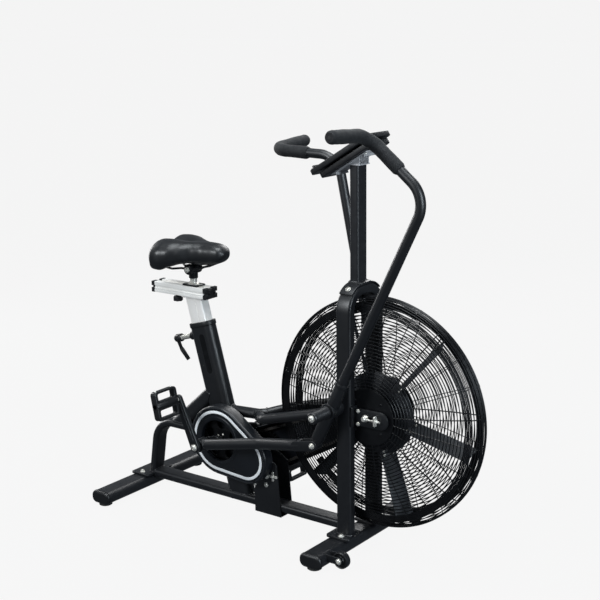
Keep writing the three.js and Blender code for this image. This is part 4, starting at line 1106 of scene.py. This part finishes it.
def cage_wires(side):
    """Each ring of a cage half, as (radius, y, wire radius)."""
    rings = [(r, dome(r) - 1.6, 1.6) for r in range(HUB + 9, 302, RING_PITCH)]
    rings += [(r, dome(r) - 2.4, 2.35) for r in (303, 307.6, 312.2, 316.8, 321.4)]
    rings += [(328, 25, 1.5), (335, 22.5, 1.5), (340.5, 18.5, 1.5)]
    rings += [(343, 12.5, 1.7), (343.2, 8.4, 1.7), (343.2, 4, 1.8)]
    return [(r, side * y, wire) for r, y, wire in rings]


def cages():
    for name, side in SIDES:
        piece = Piece(f"cage_wires_{name}")
        for radius, y, wire in cage_wires(side):
            ring_wire(piece, radius, y, wire, side)
        for k in range(SPOKES):
            radial_wire(piece, radians(360 / SPOKES * (k + 0.5)), side, 1.3 if k % 3 else 1.8)
        face = max(side * corner.y for corner in span(f"cage_{name}"))
        if side < 0:
            profile = [(9.5, face - 3.4), (HUB - 3, face - 3.4), (HUB, face - 5), (HUB + 1.2, face - 3.5),
                       (HUB, face - 0.8), (HUB - 5, face), (9.5, face), (9.5, face - 3.4)]
            piece.turn(profile, FAN, Y * side, ENAMEL, 96)
            for k in range(4):
                piece.bolt(about(FAN, 62, side * face, 45 + 90 * k), Y * side, 4, ENAMEL, "dome")
            for k in range(8):
                clip(piece, radians(22.5 + 45 * k))
        else:
            hub_plate_left(piece, face)
        piece.finish("frame", "black_steel", f"cage_{name}")


def hub_plate_left(piece, face):
    """The left hub disc, cut away where the chain guard passes: a broad arc."""
    toward = atan2(JACK.z - FAN.z, JACK.x - FAN.x)
    half_gap = radians(52)
    arc = [toward + half_gap + (2 * pi - 2 * half_gap) * k / 60 for k in range(61)]
    outer = [(HUB * cos(a), HUB * sin(a)) for a in arc]
    inner = [(54 * cos(a), 54 * sin(a)) for a in reversed(arc)]
    shape = [(FAN.x + x, FAN.z + z) for x, z in outer + inner]
    piece.slab([lambda inset: shape], face - 3, face, ENAMEL, edge=0)


def ring_wire(piece, radius, y, wire, side):
    """A ring of round wire, open where the chain guard passes."""
    steps = 144
    section = circle(wire, 6)

    def station(k):
        a = 2 * pi * k / steps
        out = Vector((cos(a), 0, sin(a)))
        return FAN + out * radius + Y * y, out.cross(Y)

    clear = [side < 0 or not in_guard(*(station(k)[0].xz), 4) for k in range(steps)]
    if all(clear):
        piece.sweep(section, [station(k) for k in range(steps)], Y, ENAMEL, closed=True)
        return
    first = next(k for k in range(steps) if clear[k] and not clear[k - 1])
    run = []
    for k in range(first, first + steps):
        if clear[k % steps]:
            run.append(station(k))
            continue
        if len(run) > 1:
            piece.sweep(section, run, Y, ENAMEL)
        run = []


def radial_wire(piece, angle, side, wire):
    """A spoke from the hub disc over the dome and down the rim to the middle plane."""
    out = Vector((cos(angle), 0, sin(angle)))
    stations = [(r, dome(r) - 4.2) for r in range(HUB - 4, 325, 12)]
    stations += [(331, 21.5), (338, 17), (341, 10), (341.4, 3)]
    points = [FAN + out * r + Y * side * y for r, y in stations]
    points = [p for p in points if side < 0 or not in_guard(p.x, p.z, 4)]
    if len(points) < 3:
        return
    line = []
    for k, p in enumerate(points):
        ahead, behind = points[min(k + 1, len(points) - 1)], points[max(k - 1, 0)]
        line.append((p, (ahead - behind).normalized()))
    piece.sweep(circle(wire, 6), line, out.cross(Y), ENAMEL)


def clip(piece, angle):
    """A small folded clip that holds the two halves together at the rim."""
    out = Vector((cos(angle), 0, sin(angle)))
    along = out.cross(Y)
    corners = [(-3.5, -1), (3.5, -1), (3.5, 1), (-3.5, 1)]
    centre = FAN + out * 342.6
    loops = [[centre + along * u + out * v + Y * w for u, v in corners] for w in (-17, 17)]
    piece.loft(loops, ENAMEL)


def fan():
    piece = Piece("rotor")
    sprocket(piece, FAN, FAN_WHEEL, 15, SECOND_CHAIN_Y, 0, 7.5)
    drum = [(7.5, -44), (26, -44), (28, -42), (28, -9), (120, -9), (122, -7.5), (122, -5.5), (120, -4),
            (28, -4), (28, 22), (26, 24), (14, 24), (14, 44), (7.5, 44), (7.5, -44)]
    piece.turn(drum, FAN, Y, BLADE, 72)
    root, tip = 110, 318
    for k in range(BLADES):
        angle = radians(BLADE_FIRST + 360 / BLADES * k)
        turned = Matrix.Translation(FAN) @ Matrix.Rotation(angle, 4, "Y") @ level(0, -6.5)
        piece.at = turned @ Matrix.Rotation(BLADE_TILT, 4, "X")
        ribs = []
        for station in range(9):
            u = station / 8
            width = 27 * (1 - 0.05 * cos(u * pi))
            camber = 1.2 * sin(pi * u)
            x = root + (tip - root) * u
            ribs.append([Vector((x, camber + t, v)) for v, t in
                         ((-width, -0.9), (0, 0.6), (width, -0.9), (width, 0.9), (0, 2.4), (-width, 0.9))])
        piece.loft(ribs, BLADE)
        for x in (root - 4, root + 8):
            for v in (-14, 14):
                piece.bolt(Vector((x + 6, 1.6, v)), Y, 3, ZINC, "dome")
        piece.at = LEVEL
    piece.finish("fan", "black_steel", "fan_rotor")

    piece = Piece("fan_spindle")
    threads = [(7, 60 + 1.5 * k) if k % 2 == 0 else (6.3, 60 + 1.5 * k) for k in range(17)]
    for way in (-1, 1):
        piece.turn([(0, 0), (6.8, 0), (6.8, 59)] + threads + [(5.5, 86), (0, 86)], FAN, Y * way, ZINC, 20)
    piece.finish("frame", "zinc", "fan_axle")

    for name, side in SIDES:
        fan_bracket(name, side)


def fan_bracket(name, side):
    low_x = span(f"fan_bracket_{name}")[0].x
    piece = Piece(f"axle_plate_{name}")
    half, end_x, screw_y = 26, 50, side * 80

    def outline(inset):
        corners = [(low_x + inset, FAN.z - half + inset)]
        for k in range(17):
            a = -pi / 2 + pi * k / 16
            corners.append((end_x + (half - inset) * cos(a), FAN.z + (half - inset) * sin(a)))
        return corners + [(low_x + inset, FAN.z + half - inset)]

    slot = moved(hole(30, 14.8, 7.2), 6, FAN.z)
    piece.slab([outline, slot], *flip(side, 67, 72), PAINT, edge=1, steps=2)
    flange = Matrix.Translation((0, side * 73.5, FAN.z)) @ FLAT_YZ
    piece.slab([block(29, 60, 3)], low_x, low_x + 5, PAINT, flange, edge=0.8, steps=2)
    outer = Y * side
    for z in (404, 443):
        piece.bolt(Vector((-25, side * 72, z)), outer, 4.8, ZINC)
    piece.bolt(Vector((FAN.x, side * 72, FAN.z)), outer, 8, ZINC)
    stop = Matrix.Translation((0, screw_y, FAN.z)) @ FLAT_YZ
    piece.slab([block(14, 30, 4)], 35, 40, ZINC, stop, edge=1, steps=2)
    screw = [(0, 0), (3.4, 0)] + [(3.4 if k % 2 else 2.9, 1 + k) for k in range(46)] + [(3.4, 47), (0, 47)]
    piece.turn(screw, Vector((6, screw_y, FAN.z)), X, ZINC, 12)
    piece.bolt(Vector((40, screw_y, FAN.z)), X, 6, ZINC)
    piece.finish("frame", "frame_paint", f"fan_bracket_{name}")


# ---- swinging handles ---------------------------------------------------------------------------
LEAN = {-1: radians(26.1), 1: radians(-11.9)}
LEVER_LOW = 128          # from a lever's pivot down to its eye
LEVER_Y, ROD_REAR_Y = 126, 105
BENDS = (78, 55)


def lever_at(side):
    pivot = axle("right_handle_swing" if side < 0 else "left_handle_swing")
    return Matrix.Translation((pivot.x, 0, pivot.z)) @ Matrix.Rotation(LEAN[side], 4, "Y")


def lever_corners(side):
    y = side * LEVER_Y
    return [Vector((0, y, 70)), Vector((0, y, 708)), Vector((-237, y, 763)), Vector((-237, side * 306, 775))]


def levers():
    for name, side in SIDES:
        y = side * LEVER_Y
        piece = Piece(f"lever_{name}", lever_at(side))
        corners = lever_corners(side)
        corners[-1] = corners[-1] - Y * side * 4
        piece.sweep(circle(14.5, 28), bent(corners, BENDS, 18), X, PAINT)
        low_end = Vector((0, y, 0))
        sleeve = [(0, -112), (16, -112), (19, -104), (19, 84), (18.2, 88), (17.4, 90), (17.4, 93), (14, 94),
                  (0, 94)]
        piece.turn(sleeve, low_end, Z, PAINT, 36)
        collar = [(14, 86), (20.6, 86), (21, 88), (21, 95), (20.4, 97), (14, 97), (14, 86)]
        piece.turn(collar, low_end, Z, PAINT, 36)
        piece.turn(ring(12.6, 24, -19.5, 19.5, 1.5), low_end, Y, PAINT, 48)
        piece.turn(ring(6.4, 15, -11, 11, 1), Vector((0, y, -LEVER_LOW)), Y, PAINT, 32)
        piece.slab([block(28, 26, 4, 6)], -122, -102, PAINT,
                   level(0, y), edge=3)
        piece.finish(f"handle_{name}", "frame_paint", f"handle_{name}")
        foam_grip(name, side)
        foot_peg(name, side)
        push_rod(name, side)


def foam_grip(name, side):
    """A soft foam sleeve, slightly swollen, with a rolled lip at each end and a vent hole at the tip, drawn
    as a near-black ring and disc of painted shade.
    """
    corners = lever_corners(side)
    start = corners[1].lerp(corners[2], 0.44)
    line = bent([start, corners[2], corners[3]], BENDS[1], 16)
    fine = []
    for (p, t), (q, s) in zip(line, line[1:]):
        parts = max(1, round((q - p).length / 7))
        fine.extend((p.lerp(q, k / parts), t.lerp(s, k / parts).normalized()) for k in range(parts))
    fine.append(line[-1])
    total = len(fine) - 1
    scale = []
    for k in range(len(fine)):
        ends = 0.86 + 0.14 * sin(pi / 2 * k / 1.2) if k < 2 else 1
        if total - k < 2:
            ends = (0.72, 0.93)[total - k]
        scale.append(ends * (1.0 + 0.018 * sin(k * 0.55) + 0.012 * dice.uniform(-1, 1)))
    piece = Piece(f"foam_{name}", lever_at(side))
    piece.sweep(circle(19, 40), fine, X, FOAM, scale=scale)
    tip, heading = line[-1]
    # The vent hole is a near-black ring and disc: painted shade, not an opening.
    piece.turn([(2.6, -6), (4.4, -0.5), (4.4, 0.8), (2.6, 0.9), (2.6, -6)], tip, heading, HOLE_SHADE, 20)
    piece.turn(rod(2.7, -1, 0.5), tip, heading, HOLE_SHADE, 20)
    grip = piece.finish(f"handle_{name}", "foam", f"grip_{name}")


def foot_peg(name, side):
    pivot = axle(f"{name}_handle_swing")
    pivot.y = 0
    piece = Piece(f"peg_{name}")
    root = [(0, 89.4), (20.5, 89.4), (22, 91), (22, 104.5), (20.5, 106), (11.8, 106), (11.8, 146), (16, 146),
            (17.5, 147.5)]
    knurl = []
    for k in range(13):
        y = 151 + 4.6 * k
        knurl += [(17.5, y), (17.9, y + 1.1), (17.9, y + 2.6), (17.5, y + 3.7), (16.9, y + 4.1)]
    end = [(17.5, 214), (17, 217), (15, 219.6), (0, 220)]
    piece.turn(root + knurl + end, pivot, Y * side, PAINT, 40)
    piece.bolt(pivot + Y * side * 219.6, Y * side, 8, ZINC, "dome")
    piece.finish("frame", "frame_paint", f"foot_peg_{name}")


def push_rod(name, side):
    """A rod that steps inward on its way to the rear, so that it clears the crank arm."""
    front = axle(f"{name}_rod_swing")
    front.y = 0
    pin = PINS[side]
    heading = front - pin
    slope = atan2(heading.z, heading.x)
    length = heading.length
    y, rear = side * LEVER_Y, side * ROD_REAR_Y
    at = Matrix.Translation(front) @ Matrix.Rotation(-slope, 4, "Y")
    piece = Piece(f"rod_{name}", at)
    route = [(-length + 10, rear, 0), (-225, rear, 0), (-86, y, 0), (-60, y, 0)]
    piece.tube(route, 17.5, PAINT, 120, 36, up=Z, steps=10)
    eye_at = Vector((-length, rear, 0))
    piece.turn(ring(9, 21, -17.5, 17.5, 2), eye_at, Y, PAINT, 48)
    piece.turn(rod(9.2, -16.4, 16.4), eye_at, Y, ENAMEL, 32)
    loop = [Vector((-length + 20.5, rear + u, v)) for u, v in circle(17.6, 32)]
    piece.weld(loop, 1.8)
    piece.turn([(0, -4), (14, -2), (17.5, 2), (17.5, 8), (0, 8)], Vector((-50, y, 0)), -X, PAINT, 36)
    root, tip = Vector((-64, 0, 0)), Vector((0, 0, 0))
    for way in (-1, 1):
        low, high = sorted((y + way * 11.7, y + way * 17))
        piece.slab([link(root, 15, tip, 15.5)], low, high, PAINT, edge=1.2)
        piece.bolt(Vector((0, y + way * 17, 0)), Y * way, 7, ZINC)
    piece.turn(rod(6, -17, 17), Vector((0, y, 0)), Y, ZINC, 20)
    piece.finish(f"push_rod_{name}", "frame_paint", f"push_rod_{name}")


# ---- seat ---------------------------------------------------------------------------------------
CLOTH_FRAMES = 20


def seat_post():
    low, high = span("slider_rail")
    piece = Piece("post_extrusion")
    top = (low.z - SEAT_TOP.z) / SEAT_AXIS.z
    line = [(on_seat(d), SEAT_AXIS) for d in (-200, -90, 0, top * 0.5, top + 6)]
    piece.sweep(grooved(rounded(POST_ACROSS, POST_ALONG, 4.5, 5)), line, SEAT_FRONT, POST_METAL)
    top_x = on_seat(top).x
    plate = level(top_x)
    piece.slab([block(88, 50, 6)], low.z - 3.4, low.z - 0.2, POST_METAL, plate, edge=0.8)
    for x in (-36, 36):
        for side in (-1, 1):
            piece.bolt(Vector((top_x + x, side * 17, low.z - 3.4)), -Z, 3.6, ZINC, "dome")
    piece.finish("seat_post", "silver", "seat_post")
    rail(low, high)
    knob()
    clamp()


def grooved(outline):
    """The post's section, with a shallow V groove down each side face."""
    out = []
    for (x, y), (next_x, next_y) in zip(outline, outline[1:] + outline[:1]):
        out.append((x, y))
        if abs(x - next_x) < 1e-6 and abs(y - next_y) > 20:
            way = copysign(1, next_y - y)
            for u, depth in ((-7, 0), (-5.8, 1.1), (-4.6, 0)):
                out.append((x - copysign(depth, x), u * way))
    return out


def rail(low, high):
    middle = (low.z + high.z) / 2
    half = (high.y - low.y) / 2
    right = [(8, 17), (8, 12.2), (15, 12.2), (15, 4.4), (-15, 4.4), (-15, 12.2), (-8, 12.2), (-8, 17)]
    left_side = [(-half + 1.2, 17), (-half, 15.8), (-half, 5.4), (-half + 2.4, 4.2), (-half + 2.4, -1.6),
                 (-half, -3), (-half, -7.2), (-half + 1, -7.8), (-half + 1, -9), (-half, -9.6),
                 (-half, -15.8), (-half + 1.2, -17)]
    section = right + left_side + [(-y, z) for y, z in reversed(left_side)]
    piece = Piece("rail_extrusion")
    loops = [[Vector((x, y, middle + z)) for y, z in section] for x in (low.x, high.x)]
    piece.loft(loops, RAIL_METAL)
    piece.finish("seat_post", "silver", "slider_rail", sharp=20)
    for name, way in (("rear", -1), ("front", 1)):
        cap_low, cap_high = span(f"rail_cap_{name}")
        piece = Piece(f"rail_end_{name}")
        place = Matrix.Translation((0, 0, middle)) @ FLAT_YZ
        w, h = 28.6, 17.6
        outline = [(-w, -h), (w, -h), (w, -3.4), (w - 7, -3.4), (w - 7, 3.4), (w, 3.4), (w, h), (9, h),
                   (9, h - 3), (-9, h - 3), (-9, h), (-w, h), (-w, 3.4), (-w + 7, 3.4), (-w + 7, -3.4),
                   (-w, -3.4)]
        piece.slab([polygon(outline)], cap_low.x, cap_high.x, PLASTIC, place, edge=1.4)
        face = cap_high.x if way > 0 else cap_low.x
        f0, f1 = sorted((face - way * 2, face + way * 0.8))
        for dy in (-1, 1):
            for z in (8.5, -9.5):
                piece.slab([moved(block(14, 5, 1.5), dy * 12, z)], f0, f1, PLASTIC, place, edge=0.6)
            piece.bolt(Vector((face, dy * 12, middle)), X * way, 3.4, ENAMEL, "dome")
        piece.finish("seat_post", "black_plastic", f"rail_cap_{name}")


def knob():
    at = axle("rail_knob_turn")
    low, high = span("rail_knob")
    top = high.z
    piece = Piece("star_knob")

    def star(inset):
        loop = []
        for k in range(72):
            a = 2 * pi * k / 72
            r = 14.6 + 1.2 * cos(6 * a) - inset
            loop.append((at.x + r * cos(a), r * sin(a)))
        return loop

    piece.slab([star], low.z, top - 9, PLASTIC, LEVEL, edge=3, steps=4)
    centre = Vector((at.x, 0, 0))
    neck = [(0, top - 10), (9, top - 10), (6.5, top - 5), (5, top - 4), (5, top), (0, top)]
    piece.turn(neck, centre, Z, PLASTIC, 28)
    piece.turn(rod(7, -low.z, -low.z + 0.7), centre, -Z, ENAMEL, 28)
    piece.finish("rail_knob", "black_plastic", "rail_knob")


def clamp():
    """The ratchet lever on the seat tube's clamp screw."""
    base_at = on_seat(-38, -TUBE_ALONG / 2)
    rear = -SEAT_FRONT
    basis = Matrix((Y, rear, SEAT_AXIS)).transposed().to_4x4()
    piece = Piece("ratchet_lever", Matrix.Translation(base_at) @ basis)
    centre = Vector((0, 0, 0))
    piece.turn([(8.6, 58), (12, 58), (13, 60), (13, 64), (12, 65), (12, 68), (13, 69), (13, 80), (11.6, 84),
                (8.6, 86), (8.6, 58)], centre, Y, PLASTIC, 32)
    piece.turn([(0, 70.8), (8.8, 70.8), (8.8, 85), (7, 87), (0, 87.4)], centre, Y, PLASTIC, 32)
    arm = [Vector((0, 79, -4)), Vector((7, 80, -34)), Vector((18, 70, -76))]
    line = bent(arm, 34, 8)
    fat = [1.05, 0.95] + [0.95 + 0.03 * k for k in range(len(line) - 4)] + [1.25, 1.1]
    piece.sweep(rounded(12, 9, 4, 5), line, Y, PLASTIC, scale=fat)
    piece.finish("clamp_lever", "black_plastic", "clamp_lever")


def saddle_profile(s):
    """(half width, middle height, half height above, half height below) of the saddle, from its
    nose, s = 0, to its rear, s = 1."""
    keys = [
        (0.0, 24, 829, 15, 18), (0.05, 33, 828, 24, 25), (0.15, 39, 827, 30, 29), (0.3, 43, 825, 33, 32),
        (0.42, 56, 824, 35, 38), (0.55, 82, 822, 36, 52), (0.68, 103, 818, 42, 66), (0.8, 113, 814, 47, 74),
        (0.9, 111, 812, 47, 74), (0.96, 99, 808, 42, 68), (1.0, 74, 804, 30, 52),
    ]
    for (s0, *a), (s1, *b) in zip(keys, keys[1:]):
        if s <= s1:
            t = (s - s0) / (s1 - s0)
            t = t * t * (3 - 2 * t) * 0.4 + t * 0.6
            return [p + (q - p) * t for p, q in zip(a, b)]
    return list(keys[-1][1:])


def saddle_mesh():
    """Loops round the saddle from its nose to its rear, which curve in at both ends."""
    low, high = span("saddle")
    loops = []
    around, rows = 48, 40
    for row in range(rows + 1):
        s = row / rows
        half, middle, above, below = saddle_profile(s)
        ease = max(0.25, min(1, sqrt(s / 0.06), sqrt((1 - s) / 0.05)))
        x = high.x - 2 - (high.x - low.x + 4) * s
        loop = []
        for k in range(around):
            a = 2 * pi * k / around
            c, d = cos(a), sin(a)
            y = half * copysign(abs(c) ** 0.82, c) * (0.55 + 0.45 * ease)
            z = (above if d > 0 else below) * copysign(abs(d) ** 0.75, d) * (0.4 + 0.6 * ease)
            rear = min(1, max(0, (s - 0.3) / 0.4))
            if d > 0:  # two humps at the rear, with a groove between them
                hump = exp(-((abs(y) - 58) / 34) ** 2)
                z += rear * (4.5 * hump - 9 * exp(-(y / 20) ** 2)) * min(1, d * 2)
            else:  # hollow underneath, with a skirt that hangs lowest at the rear
                lift = 1 - min(1, abs(y) / max(half, 1)) ** 3
                z -= d * 44 * lift * rear
                z -= d * 16 * rear * (1 - lift) * min(1, max(0, (0.8 - s) / 0.2))
            notch = 10 * exp(-(y / 30) ** 2) * max(0, (s - 0.9) / 0.1)
            loop.append(Vector((x + notch, y, middle + z)))
        loops.append(loop)
    return loops


def puffed(piece, pressure, cap):
    """Inflates a closed mesh a little as cloth under pressure, so that its cover looks stretched."""
    scene = bpy.context.scene
    rest = [v.co.copy() for v in piece.data.vertices]
    cloth = piece.modifiers.new("Cloth", "CLOTH")
    cloth.settings.use_pressure = True
    cloth.settings.uniform_pressure_force = pressure
    cloth.settings.effector_weights.gravity = 0
    cloth.settings.quality = 5
    for number in range(1, CLOTH_FRAMES + 1):
        scene.frame_set(number)
    evaluated = piece.evaluated_get(bpy.context.evaluated_depsgraph_get())
    swollen = [v.co.copy() for v in evaluated.data.vertices]
    piece.modifiers.remove(cloth)
    scene.frame_set(1)
    for vertex, before, after in zip(piece.data.vertices, rest, swollen):
        shift = after - before
        if shift.length > cap:
            shift *= cap / shift.length
        vertex.co = before + shift
    piece.data.update()


def saddle():
    piece = Piece("saddle_cover")
    piece.loft(saddle_mesh(), LEATHER)
    cover = piece.finish("saddle", "leather", "saddle", sharp=180)
    remesh = cover.modifiers.new("Even", "REMESH")
    remesh.mode = "VOXEL"
    remesh.voxel_size = 0.005
    made = bpy.data.meshes.new_from_object(cover.evaluated_get(bpy.context.evaluated_depsgraph_get()))
    cover.modifiers.clear()
    cover.data = made
    cover.data.materials.clear()
    cover.data.materials.append(LEATHER)
    made.shade_smooth()
    puffed(cover, pressure=4.0, cap=0.003)
    seam_groove(cover)
    smooth = cover.modifiers.new("Relax", "SMOOTH")
    smooth.iterations = 4
    smooth.factor = 0.5
    fine = cover.modifiers.new("Fine", "SUBSURF")
    fine.levels = fine.render_levels = 1
    saddle_hardware()


def seam_groove(cover):
    """Presses a sewn line into the side of the saddle, a third of the way down."""
    low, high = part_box("saddle")
    middle_x = (low.x + high.x) / 2
    height, slope, width, depth = 0.040, 0.010, 0.0035, 0.0016
    for vertex in cover.data.vertices:
        co = vertex.co
        line = low.z + height + slope * (co.x - middle_x)
        near = exp(-((co.z - line) / width) ** 2)
        facing = max(0.0, 1 - abs(vertex.normal.z) * 1.2)
        vertex.co = co - vertex.normal * depth * near * facing


def saddle_hardware():
    """The carriage in the rail's channel, the pin, the saddle clamp, its rails and bumpers."""
    low, high = span("saddle_carriage")
    rail_top = span("slider_rail")[1].z
    cx = (low.x + high.x) / 2
    piece = Piece("saddle_clamp")
    centre = Vector((cx, 0, 0))
    at = Matrix.Translation(centre)
    piece.slab([block(68, 28, 3)], low.z, low.z + 6.8, ZINC, at, edge=0.8)
    piece.slab([block(60, 14.8, 2)], low.z + 4, rail_top + 6, ZINC, at, edge=0.8)
    piece.slab([block(64, 44, 6)], rail_top + 0.3, rail_top + 5, ENAMEL, at, edge=1.5)
    top = high.z
    flange = [(r, rail_top + h) for r, h in ((0, 4), (17, 4), (17, 7), (13, 9), (11.4, 10), (11, 10))]
    piece.turn(flange + [(11, top - 34), (0, top - 34)], centre, Z, ZINC, 36)
    socket = [(0, top - 46), (13.5, top - 46), (14.5, top - 44), (14.5, top - 24), (0, top - 24)]
    piece.turn(socket, centre, Z, ENAMEL, 32)
    head = Vector((cx, 0, top - 15))
    barrel = [(0, -29), (10, -29), (14, -27), (15, -24), (15, 24), (14, 27), (10, 29), (0, 29)]
    piece.turn(barrel, head, Y, ENAMEL, 36)
    for way in (-1, 1):
        piece.bolt(head + Y * way * 29, Y * way, 7, ZINC)
        piece.turn(ring(15, 17, -25, -15), head, Y * way, ENAMEL, 36)
    for side in (-1, 1):
        route = [(cx + x, side * y, top + z) for x, y, z in (
            (100, 12, 14), (50, 20, -6), (18, 21, -14), (-30, 21, -14), (-62, 30, -18), (-84, 42, -12),
            (-84, 42, 14),
        )]
        piece.tube(route, 3.5, ENAMEL, [18, 14, 14, 14, 14], 16, up=Y, steps=6)
        bump_at = Vector((cx - 70, side * 46, top - 8))
        bumper = []
        for k in range(5):
            bumper += [(9.5, 5.2 * k), (11.5, 5.2 * k + 1.2), (11.5, 5.2 * k + 3.4), (9.5, 5.2 * k + 4.6)]
        piece.turn([(0, 0)] + bumper + [(0, 26)], bump_at, Z, RUBBER, 28)
    cross = [(cx - 84, -44, top - 12), (cx - 84, 44, top - 12)]
    piece.tube(cross, 3.5, ENAMEL, sides=16)
    under = level(cx - 4)
    piece.slab([block(150, 60, 20)], top + 6, top + 12, PLASTIC, under, edge=2.5)
    piece.finish("saddle", "silver", "saddle_carriage")


# ---- studio -------------------------------------------------------------------------------------
BACKDROP = 0.905        # the pale tone of the floor and the background
CAMERA_AT = Vector((2.219, -2.951, 1.591))
AZIMUTH, ELEVATION, ROLL = radians(36.67), radians(13.29), radians(-0.68)


def camera():
    lens = bpy.data.cameras.new("camera")
    lens.sensor_width = 36
    lens.lens = 76.25
    lens.clip_end = 100
    eye = bpy.data.objects.new("camera", lens)
    back = Vector((sin(AZIMUTH) * cos(ELEVATION), -cos(AZIMUTH) * cos(ELEVATION),
                   sin(ELEVATION)))
    right = (-back).cross(Z).normalized()
    up = right.cross(-back)
    turned_right = right * cos(ROLL) + up * sin(ROLL)
    turned_up = up * cos(ROLL) - right * sin(ROLL)
    basis = Matrix((turned_right, turned_up, back)).transposed().to_4x4()
    eye.matrix_world = Matrix.Translation(CAMERA_AT) @ basis
    bpy.context.scene.collection.objects.link(eye)
    bpy.context.scene.camera = eye


def softbox(name, at, size, power, tint=(1, 1, 1)):
    """A square area light that faces the middle of the bike."""
    lamp = bpy.data.lights.new(name, "AREA")
    lamp.shape = "RECTANGLE"
    lamp.size, lamp.size_y = size
    lamp.energy = power
    lamp.color = tint
    light = bpy.data.objects.new(name, lamp)
    aim = Vector((0, 0, 0.55)) - Vector(at)
    light.matrix_world = Matrix.Translation(at) @ aim.to_track_quat("-Z", "Y").to_matrix().to_4x4()
    bpy.context.scene.collection.objects.link(light)


def studio():
    camera()
    softbox("overhead", (0.2, -0.2, 3.4), (2.2, 1.8), 95, (0.92, 0.97, 1))
    softbox("key", (-1.4, -3.6, 2.6), (1.1, 1.3), 108, (0.93, 0.97, 1))
    softbox("side", (3.6, -0.9, 1.6), (0.7, 2.0), 100, (0.82, 0.92, 1))
    softbox("rear", (-0.8, 3.2, 2.4), (1.8, 1.2), 60)
    softbox("rear_side", (-3.4, 0.6, 1.4), (0.7, 1.8), 45)

    world = bpy.data.worlds.new("studio")
    world.use_nodes = True
    tree = world.node_tree
    backdrop = tree.nodes["Background"]
    room = tree.nodes.new("ShaderNodeBackground")
    seen = tree.nodes.new("ShaderNodeLightPath")
    choose = tree.nodes.new("ShaderNodeMixShader")
    backdrop.inputs["Color"].default_value = (BACKDROP, BACKDROP, BACKDROP, 1)
    room.inputs["Color"].default_value = (0.78, 0.88, 1.0, 1)
    room.inputs["Strength"].default_value = 0.13
    tree.links.new(seen.outputs["Is Camera Ray"], choose.inputs[0])
    tree.links.new(room.outputs[0], choose.inputs[1])
    tree.links.new(backdrop.outputs[0], choose.inputs[2])
    tree.links.new(choose.outputs[0], tree.nodes["World Output"].inputs["Surface"])
    bpy.context.scene.world = world

    paint = Finish("floor_paint", 0.9, Emission_Color=(1, 1, 1, 1), Emission_Strength=BACKDROP,
                   Specular_IOR_Level=0.0)
    paint.color(paint.mixed(paint.noise(2), (0.012, 0.012, 0.012), (0.014, 0.014, 0.014)))
    sheet = bpy.data.meshes.new("floor")
    reach = 40
    corners = [(-reach, -reach, 0), (reach, -reach, 0), (reach, reach, 0), (-reach, reach, 0)]
    sheet.from_pydata(corners, [], [(0, 1, 2, 3)])
    sheet.materials.append(paint.material)
    floor = bpy.data.objects.new("floor", sheet)
    floor.visible_diffuse = False
    floor.visible_glossy = False
    bpy.context.scene.collection.objects.link(floor)
    bpy.context.scene.view_settings.view_transform = "Standard"


base()
wheels()
seat_mast()
rear_strut()
side_tubes()
front_arch()
console_mast()
console()
cranks()
jackshaft()
chain("first_roller_chain", CRANK, CHAINWHEEL, JACK, JACK_FIRST, FIRST_CHAIN_Y, "first_chain")
chain("second_roller_chain", JACK, JACK_SECOND, FAN, FAN_WHEEL, SECOND_CHAIN_Y, "second_chain")
covers()
cages()
fan()
levers()
seat_post()
saddle()
studio()
